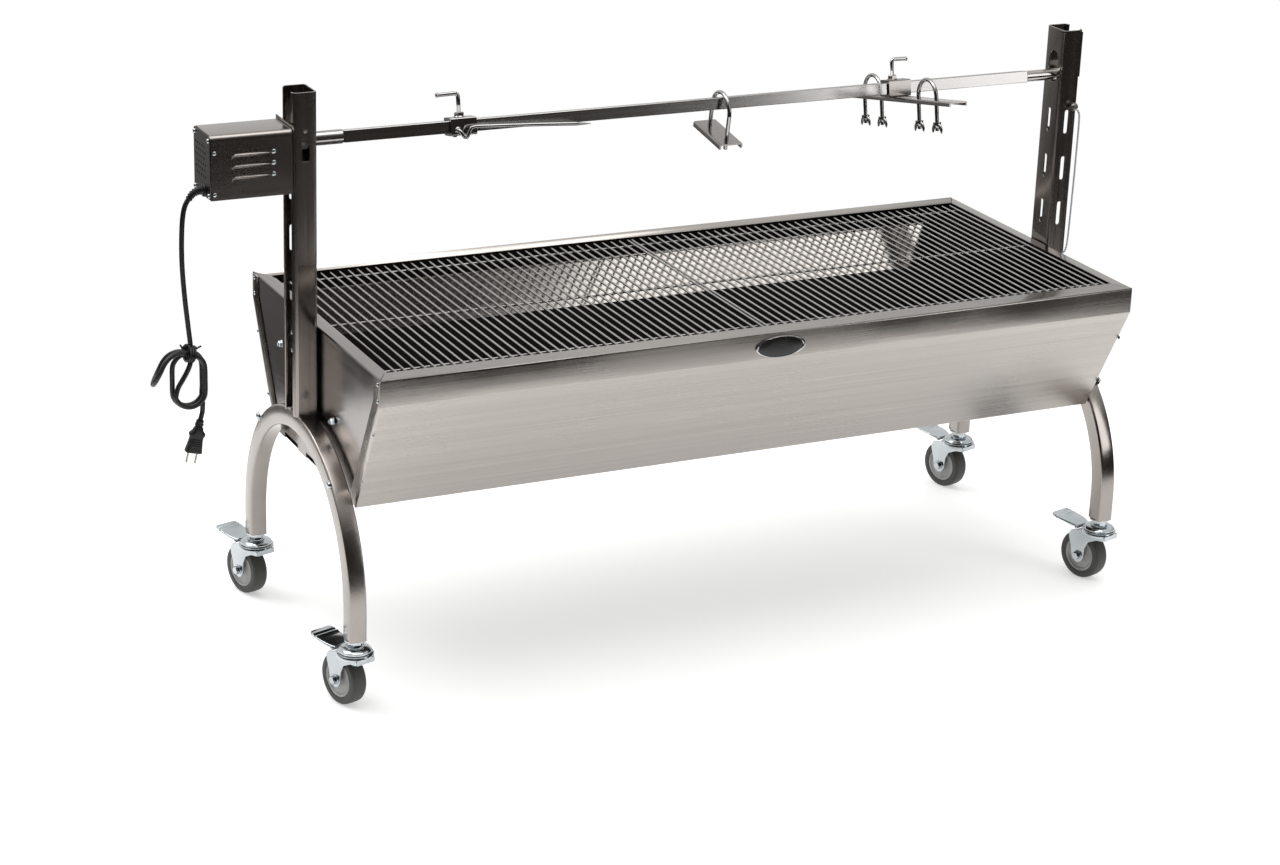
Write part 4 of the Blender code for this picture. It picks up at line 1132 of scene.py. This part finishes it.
def make_end_plate():
    """The dark end plate, perforated for cooling, with a screw in each corner."""
    low, high = BOX_Z
    middle = (low + high) / 2
    outlines = [rounded_box(0.0670, high - low - 0.002, 0.006, (0, middle))]
    for row in range(6):
        for column in range(5):
            shift = 0.0022 if row % 2 else -0.0022
            outlines.append(circle(0.0019, (0.0050 + (column - 2) * 0.0088 + shift,
                        middle + 0.004 + (row - 2.5) * 0.0082), 10))
    bm = bmesh.new()
    cutout(bm, outlines, 0.0010, shifted(BOX_X[0] - 0.0008, 0, 0) @ FACING_X)
    piece("end_plate", bm, STEEL["vented"], replaces=("motor_end_plate",),
        sharp=30)
    # Painted shade: a near-black sheet just behind the perforations stands in for the shade inside
    # the housing.
    backing = bmesh.new()
    prism(backing, rounded_box(0.0640, high - low - 0.005, 0.006, (0, middle)), 0.0004,
        shifted(BOX_X[0] + 0.0012, 0, 0) @ FACING_X)
    piece("end_plate_shade_backing", backing, STEEL["pan"])
    screws = bmesh.new()
    for y in (-0.0290, 0.0290):
        for z in (low + 0.0060, high - 0.0075):
            pan_head(screws, 0.0032, 0.0022, shifted(BOX_X[0] - 0.0013, y, z) @ ALONG["-X"])
    for z in (low + 0.0085, middle + 0.0210):
        pan_head(screws, 0.0030, 0.0020, shifted(BOX_X[0] + 0.0050, -BOX_HALF, z) @ ALONG["-Y"])
    piece("end_plate_screws", screws, STEEL["zinc"])


def make_bracket():
    """The folded bracket that hooks the motor on the left post."""
    section = folded([(-0.6361, 0.2935), (-0.6361, 0.2038), (-0.6320, 0.2038), (-0.6320, 0.2898)],
        0.0015, 4)
    rows = [[(p.x, y, RIM_Z + p.y) for y in (-0.0358, 0.0358)] for p in section]
    bm = bmesh.new()
    sheet(bm, rows)
    cutter = bmesh.new()
    lathe(cutter, [(0, -0.65), (0.009, -0.65), (0.009, -0.62), (0, -0.62)], 24,
        shifted(0, 0, SPIT_Z) @ ALONG["X"])
    bm = carved(bm, cutter, 0.0014)
    piece("bracket_sheet", bm, STEEL["post"], replaces=("motor_bracket",),
        edge=0.0003, sharp=35)


def make_rocker():
    """The rocker switch: a bezel in the housing's back wall and a two-sided key on its pivot."""
    bm = bmesh.new()
    place = shifted(-0.690, 0.0346, RIM_Z + 0.247) @ FACING_Y
    cutout(bm, [rounded_box(0.0225, 0.0165, 0.0016), rounded_box(0.0192, 0.0132, 0.0008)], 0.0014,
        place)
    piece("rocker_bezel", bm, PLASTIC, edge=0.0003)
    profile = [(-0.0014, 0.0), (0.0, 0.0064), (0.0019, 0.0064), (0.0013, 0.0030), (0.0009, 0.0),
        (0.0013, -0.0030), (0.0019, -0.0064), (0.0, -0.0064)]
    bm = bmesh.new()
    spot = shifted(-0.690, 0.0365, RIM_Z + 0.247)
    loft(bm, [[spot @ Vector((x, y, z)) for y, z in profile] for x in (-0.0093, 0.0093)])
    piece("rocker_key", bm, PLASTIC, own="rocker_switch", edge=0.0004)


make_motor()

# ---------------------------------------------------------------- spit and what rides on it

SPIT_SIDE = 0.017
CLAMP_RADIUS = 0.0029


def make_spit():
    """The square bar with chamfered edges, and its two turned ends."""
    bm = bmesh.new()
    half, cut = SPIT_SIDE / 2, 0.0007
    square = [(half, -half + cut), (half, half - cut), (half - cut, half), (-half + cut, half),
        (-half, half - cut), (-half, -half + cut), (-half + cut, -half), (half - cut, -half)]
    rings = [[(-0.554, y * 0.90, z * 0.90) for y, z in square]]
    rings += [[(x, y, z) for y, z in square] for x in (-0.5525, 0.5475)]
    rings.append([(0.549, y * 0.90, z * 0.90) for y, z in square])
    loft(bm, rings)
    drive = [(0.0084, -0.5530), (0.0100, -0.5550), (0.0100, -0.6225), (0.0092, -0.6240),
        (0, -0.6240)]
    lathe(bm, [(0, -0.5530), *drive], 32, ALONG["X"])
    free = [(0, 0.5480), (0.0084, 0.5480), (0.0084, 0.6200), (0.0080, 0.6206), (0.0084, 0.6212),
        (0.0084, 0.6385), (0.0074, 0.6400), (0, 0.6400)]
    lathe(bm, free, 32, ALONG["X"])
    piece("spit_bar", bm, STEEL["spit"], own="spit_rod", place=SPIT, sharp=25)


def sleeve(bm, span):
    """A square tube on the spit between two places along X, its edges rounded."""
    middle, length = (span[0] + span[1]) / 2, span[1] - span[0]
    inner = rounded_box(0.0178, 0.0178, 0.0010, steps=2)
    cutout(bm, [rounded_box(0.025, 0.025, 0.0026), inner], length, shifted(middle, 0, 0) @ FACING_X)


def clamp(name, node_name, x, rise, reach):
    """An L-shaped clamp screw in the nut welded on a sleeve."""
    side = math.copysign(1, reach)
    low = SPIT_SIDE / 2 + 0.0003
    route = folded([(0, 0, low), (0, 0, rise), (reach, 0, rise - 0.0006)], 0.0055, 8)
    straight = [Vector((0, 0, low + 0.00055 * k))
        for k in range(int((rise - 0.016 - low) / 0.00055))]
    points = straight + [p for p in route if p.z > straight[-1].z + 0.0005]
    radii = [CLAMP_RADIUS - (0.00035 if k % 2 else 0) for k in range(len(straight))]
    radii += [CLAMP_RADIUS] * (len(points) - len(straight))
    bm = bmesh.new()
    tube(bm, points, CLAMP_RADIUS, 16, radii)
    tip = Vector((reach - side * 0.0015, 0, rise - 0.0006))
    lathe(bm, [(0.0027, -0.001), (0.0033, 0), (0.0033, 0.0018), (0.0024, 0.0026), (0, 0.0026)], 16,
        Matrix.Translation(tip) @ ALONG["X" if side > 0 else "-X"])
    piece(name, bm, STEEL["polished"], own=node_name,
        place=SPIT @ shifted(x, 0, 0), sharp=35)


def welded_nut(bm, x):
    hexagon(bm, 0.0125, 0.0072, shifted(x, 0, 0.0122))
    lathe(bm, [(0.0072, 0), (0.0080, 0.0008), (0.0066, 0.0022)], 20, shifted(x, 0, 0.0122))


def make_fork():
    """The meat fork: a sleeve with a welded nut and two long prongs bent out from its sides."""
    bm = bmesh.new()
    sleeve(bm, (-0.398, -0.359))
    welded_nut(bm, -0.380)
    for side in (1, -1):
        spots = [(-0.3890, -0.0128, -0.0040), (-0.3855, -0.0165, -0.0065),
            (-0.3815, -0.0195, -0.0140), (-0.3778, -0.0210, -0.0140), (-0.3735, -0.0225, -0.0050),
            (-0.3680, -0.0240, -0.0010), (-0.3400, -0.0262, -0.0018), (-0.2700, -0.0315, -0.0050),
            (-0.2080, -0.0352, -0.0087), (-0.1960, -0.0358, -0.0094)]
        route = smooth_route([(x, side * y, z) for x, y, z in spots], 0.003)
        count = len(route) - 1
        radii = [0.0027 * min(1.0, 0.22 + 0.78 * (count - i) / (0.10 * count))
            for i in range(count + 1)]
        tube(bm, route, 0.0027, 14, radii)
        weld = shifted(-0.3875, side * -0.0132, -0.0045) @ ALONG["-Y" if side > 0 else "Y"]
        lathe(bm, [(0.0050, -0.0012), (0.0043, 0.0006), (0.0030, 0.0016), (0, 0.0018)], 16, weld)
    piece("fork_body", bm, STEEL["polished"], own="meat_fork", place=SPIT,
        sharp=35)
    clamp("fork_clamp", "fork_screw", -0.380, 0.0455, -0.032)


def ubolt(name, node_name, place, spread, arc_z, foot_z, thread):
    """A U-bolt over the spit with threaded legs."""
    over = [(0, y, z) for y, z in arc((0, arc_z), spread, 180, 0, 28)]
    legs = [(0, -spread, foot_z), (0, -spread, (foot_z + arc_z) / 2), *over,
        (0, spread, (foot_z + arc_z) / 2), (0, spread, foot_z)]
    route, radii = threaded(legs, 0.003, thread, thread)
    bm = bmesh.new()
    tube(bm, route, 0.003, 14, radii)
    piece(name, bm, STEEL["polished"], own=node_name, place=place, sharp=60)


def channel(bm, width, depth, length, place, holes=(), wall=0.0025):
    """An inverted shallow channel along Y with rounded folds, its top at Z = 0."""
    x = width / 2
    section = folded([(-x, -depth), (-x, 0), (x, 0), (x, -depth)], 0.0026, 4)
    bent = bmesh.new()
    sheet(bent, [[(p.x, y, p.y) for y in (length / 2, -length / 2)] for p in section])
    if max(bent.faces, key=lambda f: f.calc_area()).normal.z < 0:
        bmesh.ops.reverse_faces(bent, faces=bent.faces)
    cutter = bmesh.new()
    for y, radius in holes:
        lathe(cutter, [(0, -0.006), (radius, -0.006), (radius, 0.004), (0, 0.004)], 20,
            shifted(0, y, 0))
    solid = carved(bent, cutter, wall)
    solid.transform(place)
    bm.from_mesh(meshed(solid))


def make_back_brace():
    ubolt("brace_ubolt", "back_brace_ubolt", BRACE, 0.027, -0.0121, -0.0605, 0.022)
    bm = bmesh.new()
    channel(bm, 0.037, 0.008, 0.087, shifted(0, 0, -0.0455), ((-0.027, 0.0033), (0.027, 0.0033)))
    piece("brace_plate", bm, STEEL["end"], own="back_brace_plate", place=BRACE,
        edge=0.0004, sharp=35)
    for name, y in (("front", -0.027), ("back", 0.027)):
        seat = -0.0455 - 0.0025 - 0.0003
        bm = bmesh.new()
        outline = [(0.0061 * math.cos(math.radians(60 * k)),
                0.0061 * math.sin(math.radians(60 * k))) for k in range(6)]
        cutout(bm, [outline, circle(0.0033, steps=18)], 0.0050, shifted(0, y, seat - 0.0025))
        piece(f"brace_nut_{name}", bm, STEEL["zinc"], own=f"back_brace_nut_{name}",
            place=BRACE, edge=0.0006, sharp=35)


def make_leg_brace():
    """The crossbar on its sleeve, two U-bolts for the legs and their four wing nuts."""
    bm = bmesh.new()
    sleeve(bm, (0.303, 0.340))
    welded_nut(bm, 0.316)
    holes = [(y + side * 0.025, 0.0033) for y in (-0.090, 0.068) for side in (-1, 1)]
    channel(bm, 0.030, 0.0065, 0.350, shifted(0.3215, 0, -0.0122), holes)
    piece("leg_brace_bar", bm, STEEL["end"], own="leg_brace", place=SPIT,
        edge=0.0004, sharp=35)
    clamp("leg_brace_clamp", "leg_brace_screw", 0.316, 0.0425, 0.025)
    for name, y in (("front", -0.090), ("back", 0.068)):
        ubolt(f"leg_bolt_{name}", f"leg_ubolt_{name}", SPIT @ shifted(0.3215, y, 0), 0.025, -0.0090,
            -0.0570, 0.024)
        for label, side in (("front", -1), ("back", 1)):
            node_name = f"wing_nut_{name}_{label}"
            place = shifted(0.3215, y + side * 0.025, -0.0450) @ Matrix.Rotation(math.pi, 4,
                "X") @ Matrix.Rotation(math.pi / 2, 4, "Z")
            bm = bmesh.new()
            wings(bm, place, 0.98)
            piece(f"wing_nut_body_{name}_{label}", bm, STEEL["polished"],
                own=node_name, place=SPIT, sharp=40)


def make_lock_pin():
    """The ball-headed lock pin, its bead chain, and the holder plate on the right post."""
    place = shifted(0.621, 0, RIM_Z + 0.219) @ ALONG["-Y"]
    ball, centre = 0.0065, 0.0310
    profile = [(0, centre + ball)] + [(r, z + centre) for r, z in arc((0, 0), ball, 82, -62, 14)]
    profile += [(0.0030, 0.0245), (0.0030, 0.0225), (0.0040, 0.0222), (0.0030, 0.0219),
        (0.0030, 0.0062), (0.0020, 0.0050), (0, 0.0050)]
    bm = bmesh.new()
    lathe(bm, profile, 28, place)
    piece("lock_pin_body", bm, STEEL["dark"], own="lock_pin", sharp=35)
    chain = [(0.6292, -0.0310, 0.2120), (0.6325, -0.0310, 0.2040), (0.6335, -0.0305, 0.1800),
        (0.6340, -0.0290, 0.1000), (0.6340, -0.0265, 0.0100), (0.6325, -0.0250, -0.0110),
        (0.6285, -0.0245, -0.0165)]
    route = smooth_route([(x, y, z + RIM_Z) for x, y, z in chain], 0.0032)
    bm = bmesh.new()
    tube(bm, route, 0.0006, 6)
    for spot in route:
        bmesh.ops.create_icosphere(bm, subdivisions=2, radius=0.00165,
            matrix=Matrix.Translation(spot))
    piece("bead_chain", bm, STEEL["zinc"], replaces=("pin_chain",), sharp=80)
    bm = bmesh.new()
    low_left, low_right, top = RIM_Z + 0.271, RIM_Z + 0.263, RIM_Z + 0.333
    outline = folded([(0.599, low_left), (0.632, low_right), (0.632, top), (0.599, top)], 0.0015, 3,
        closed=True)
    cutout(bm, [[(p.x, p.y) for p in outline], circle(0.004, (0.613, RIM_Z + 0.2765), 20)], 0.0015,
        shifted(0, -0.02255, 0) @ FACING_Y)
    piece("holder_plate", bm, STEEL["post"], replaces=("spit_holder",),
        edge=0.0003, sharp=35)


make_spit()
make_fork()
make_back_brace()
make_leg_brace()
make_lock_pin()

# ---------------------------------------------------------------- casters

TRAIL = 0.025
AXLE_Z = 0.038 * math.cos(math.pi / 24)
CASTER_TURN = math.radians(106)


def caster_stem(bm, place):
    """The threaded stem's nut and washers under a leg, and the domed raceway."""
    hexagon(bm, 0.0180, 0.0085, place @ shifted(0, 0, 0.1040 - 0.0085))
    lathe(bm, [(0, 0.1040), (0.0150, 0.1040), (0.0150, 0.1030), (0.0150, 0.1022), (0, 0.1022)], 28,
        place)
    lathe(bm, [(0, 0.0957), (0.0128, 0.0957), (0.0132, 0.0950), (0.0132, 0.0938), (0, 0.0938)], 28,
        place)
    lathe(bm, [(0, 0.1280), (0.0102, 0.1280), (0.0102, 0.1030), (0, 0.1030)], 24, place)
    dome = [(0, 0.0940), (0.0100, 0.0938), (0.0170, 0.0930), (0.0215, 0.0912), (0.0234, 0.0890)]
    dome += [(0.0236, 0.0878), (0.0228, 0.0866), (0.0200, 0.0863), (0, 0.0863)]
    lathe(bm, dome, 40, place)


def caster_fork(bm, place):
    """Pressed plates that curve down from a round crown to the axle, with a rolled front edge."""
    crown = [(0, 0.0861), (0.0225, 0.0861), (0.0258, 0.0852), (0.0266, 0.0838), (0.0266, 0.0795)]
    crown += [(0.0254, 0.0790), (0.0250, 0.0800), (0, 0.0805)]
    lathe(bm, crown, 40, place)
    outline = folded([(-0.0245, 0.0822), (-0.0245, 0.0752), (-0.0100, 0.0730), (0.0060, 0.0650),
            (0.0122, 0.0520), (0.0138, 0.0360), (0.0178, 0.0286), (0.0250, 0.0256),
            (0.0322, 0.0286), (0.0368, 0.0360), (0.0388, 0.0480), (0.0432, 0.0600),
            (0.0452, 0.0690), (0.0402, 0.0767), (0.0280, 0.0790), (0.0220, 0.0822)], 0.006, 3,
        closed=True)
    flat = [(p.x, p.y) for p in outline]
    for side in (-1, 1):
        prism(bm, flat, 0.0022, place @ shifted(0, side * 0.0149, 0) @ FACING_Y)
    prism(bm, [(-0.0252, 0.0830), (-0.0252, 0.0752), (-0.0232, 0.0752), (-0.0232, 0.0830)], 0.0296,
        place @ FACING_Y)
    axle = place @ shifted(TRAIL, 0, AXLE_Z)
    tube(bm, [axle @ Vector((0, y, 0)) for y in (-0.0270, 0.0, 0.0185)], 0.0038, 16)
    low = 0.0160
    for side in (-1, 1):
        spot = axle @ ALONG["Y" if side > 0 else "-Y"]
        lathe(bm, [(0, low), (0.0080, low), (0.0080, low + 0.0012), (0, low + 0.0012)], 24, spot)
        hexagon(bm, 0.0112, 0.0052, spot @ shifted(0, 0, low + 0.0012))


def caster_wheel(place):
    """The rubber tyre with a rounded tread, and its paler hub faces with a raised ring."""
    tyre = bmesh.new()
    tread = [(0.0262, 0.0108), (0.0272, 0.0116), (0.0300, 0.0120), (0.0345, 0.0119),
        (0.0362, 0.0112), (0.0373, 0.0098)]
    tread += [(0.0378, 0.0070), (0.0380, 0.0)]
    tread += [(r, -h) for r, h in reversed(tread[:-1])]
    lathe(tyre, tread, 72, place, closed=True)
    hub = bmesh.new()
    face = [(0.0043, 0.0112), (0.0085, 0.0118), (0.0095, 0.0100), (0.0120, 0.0092),
        (0.0215, 0.0092), (0.0238, 0.0110), (0.0264, 0.0113)]
    lathe(hub, face + [(r, -h) for r, h in reversed(face)], 56, place, closed=True)
    return tyre, hub


def caster_pedal(bm, place):
    """The brake pedal: a pressed lever that widens to a toe with two ridges across it."""
    spine = [(0.0300, 0.0832, 0.0130, 0.0042), (0.0345, 0.0830, 0.0150, 0.0044),
        (0.0440, 0.0852, 0.0185, 0.0036), (0.0560, 0.0868, 0.0195, 0.0030),
        (0.0630, 0.0872, 0.0198, 0.0028), (0.0650, 0.0884, 0.0198, 0.0030),
        (0.0670, 0.0876, 0.0198, 0.0028), (0.0710, 0.0880, 0.0198, 0.0028),
        (0.0730, 0.0893, 0.0196, 0.0030), (0.0752, 0.0886, 0.0194, 0.0028),
        (0.0790, 0.0898, 0.0180, 0.0026), (0.0812, 0.0904, 0.0150, 0.0018)]
    rings = []
    for x, z, half, thick in spine:
        section = rounded_box(2 * half, thick, thick * 0.45, steps=3)
        rings.append([place @ Vector((x, y, z + h)) for y, h in section])
    loft(bm, rings)
    hinge = place @ shifted(0.032, 0, 0.0822)
    tube(bm, [hinge @ Vector((0, y, 0)) for y in (-0.0165, 0, 0.0165)], 0.0026, 12)


def make_casters():
    for end, x in (("left", -LEG_X), ("right", LEG_X)):
        for side, y in (("front", -0.2075), ("back", 0.2075)):
            name = f"{side}_{end}"
            bm = bmesh.new()
            caster_stem(bm, shifted(x, y, 0))
            piece(f"stem_{name}", bm, STEEL["zinc"],
                replaces=(f"caster_stem_{name}",), sharp=30)
            turned = shifted(x, y, 0) @ Matrix.Rotation(CASTER_TURN, 4, "Z")
            bm = bmesh.new()
            caster_fork(bm, turned)
            node_name = f"caster_fork_{name}"
            piece(f"fork_{name}", bm, STEEL["zinc"], own=node_name, edge=0.0005,
                sharp=30)
            node_name = f"caster_pedal_{name}"
            bm = bmesh.new()
            caster_pedal(bm, turned)
            piece(f"pedal_{name}", bm, STEEL["zinc"], own=node_name, sharp=50)
            node_name = f"caster_wheel_{name}"
            tyre, hub = caster_wheel(turned @ shifted(TRAIL, 0, AXLE_Z) @ ALONG["Y"])
            piece(f"tyre_{name}", tyre, TREAD, own=node_name, sharp=40)
            piece(f"hub_{name}", hub, HUB, body=node_name, sharp=30)


make_casters()

# ---------------------------------------------------------------- studio

FLOOR_LOW = (-1.75, -1.54)
FLOOR_HIGH = (1.75, 1.02)


def make_floor():
    """A pale sheet on the floor with round corners, dark surroundings beginning past its edge."""
    bm = bmesh.new()
    steps = 96
    ring = []
    for step in range(steps):
        turn = math.tau * step / steps
        across = math.copysign(abs(math.cos(turn)) ** 0.7, math.cos(turn))
        along = math.copysign(abs(math.sin(turn)) ** 0.7, math.sin(turn))
        x = across * (FLOOR_HIGH[0] if across > 0 else -FLOOR_LOW[0])
        y = along * (FLOOR_HIGH[1] if along > 0 else -FLOOR_LOW[1])
        ring.append(bm.verts.new((x, y, -0.0002)))
    bm.faces.new(ring)
    floor = link("floor", meshed(bm, "floor"))
    material, tree, shader = shader_graph("floor_paper")
    place = object_coordinates(tree)
    base = mixed(tree, noise(tree, place, 3.0), (0.90, 0.90, 0.90), (0.93, 0.93, 0.93))
    tree.links.new(base, shader.inputs["Base Color"])
    shader.inputs["Roughness"].default_value = 0.8
    shader.inputs["Specular IOR Level"].default_value = 0.1
    shader.inputs["Emission Color"].default_value = (1, 1, 1, 1)
    shader.inputs["Emission Strength"].default_value = 0.45
    floor.data.materials.append(material)


def make_world():
    """A white studio overhead and behind, dark at eye level and toward the camera's side."""
    world = bpy.data.worlds.new("studio")
    bpy.context.scene.world = world
    world.use_nodes = True
    tree = world.node_tree
    direction = node(tree, "ShaderNodeTexCoord").outputs["Generated"]
    axes = node(tree, "ShaderNodeSeparateXYZ", Vector=direction).outputs
    tilted = maths(tree, "MULTIPLY", axes["Z"], 0.866)
    tilted = maths(tree, "ADD", tilted, maths(tree, "MULTIPLY", axes["Y"], 0.5))
    ramp = tree.nodes.new("ShaderNodeValToRGB")
    ramp.color_ramp.elements[0].position = 0.56
    ramp.color_ramp.elements[0].color = (0.035, 0.030, 0.026, 1)
    ramp.color_ramp.elements[1].position = 0.77
    ramp.color_ramp.elements[1].color = (0.86, 0.86, 0.85, 1)
    tree.links.new(ranged(tree, tilted, 0.0, 1.0, -1.0, 1.0), ramp.inputs["Fac"])
    seen = node(tree, "ShaderNodeLightPath").outputs["Is Camera Ray"]
    colour = mixed(tree, seen, ramp.outputs["Color"], (1.0, 1.0, 1.0))
    background = tree.nodes["Background"]
    tree.links.new(colour, background.inputs["Color"])
    background.inputs["Strength"].default_value = 1.0


def make_lamp(name, place, target, size, power):
    data = bpy.data.lights.new(name, "AREA")
    data.shape = "RECTANGLE"
    data.size, data.size_y = size
    data.energy = power
    lamp = bpy.data.objects.new(name, data)
    lamp.location = place
    lamp.rotation_euler = (Vector(target) - Vector(place)).to_track_quat("-Z", "Y").to_euler()
    bpy.context.scene.collection.objects.link(lamp)


def make_studio():
    bpy.context.scene.view_settings.view_transform = "Standard"
    make_floor()
    make_world()
    make_lamp("key", (-1.6, 1.0, 3.0), (0, 0, 0.3), (1.6, 1.6), 30)
    make_lamp("side", (2.22, -2.67, 1.9), (0.4, 0.1, 0.5), (1.05, 2.2), 18)
    make_lamp("top", (0.0, -0.4, 3.4), (0, 0, 0.3), (2.6, 1.8), 30)


make_studio()
paint_nodes()
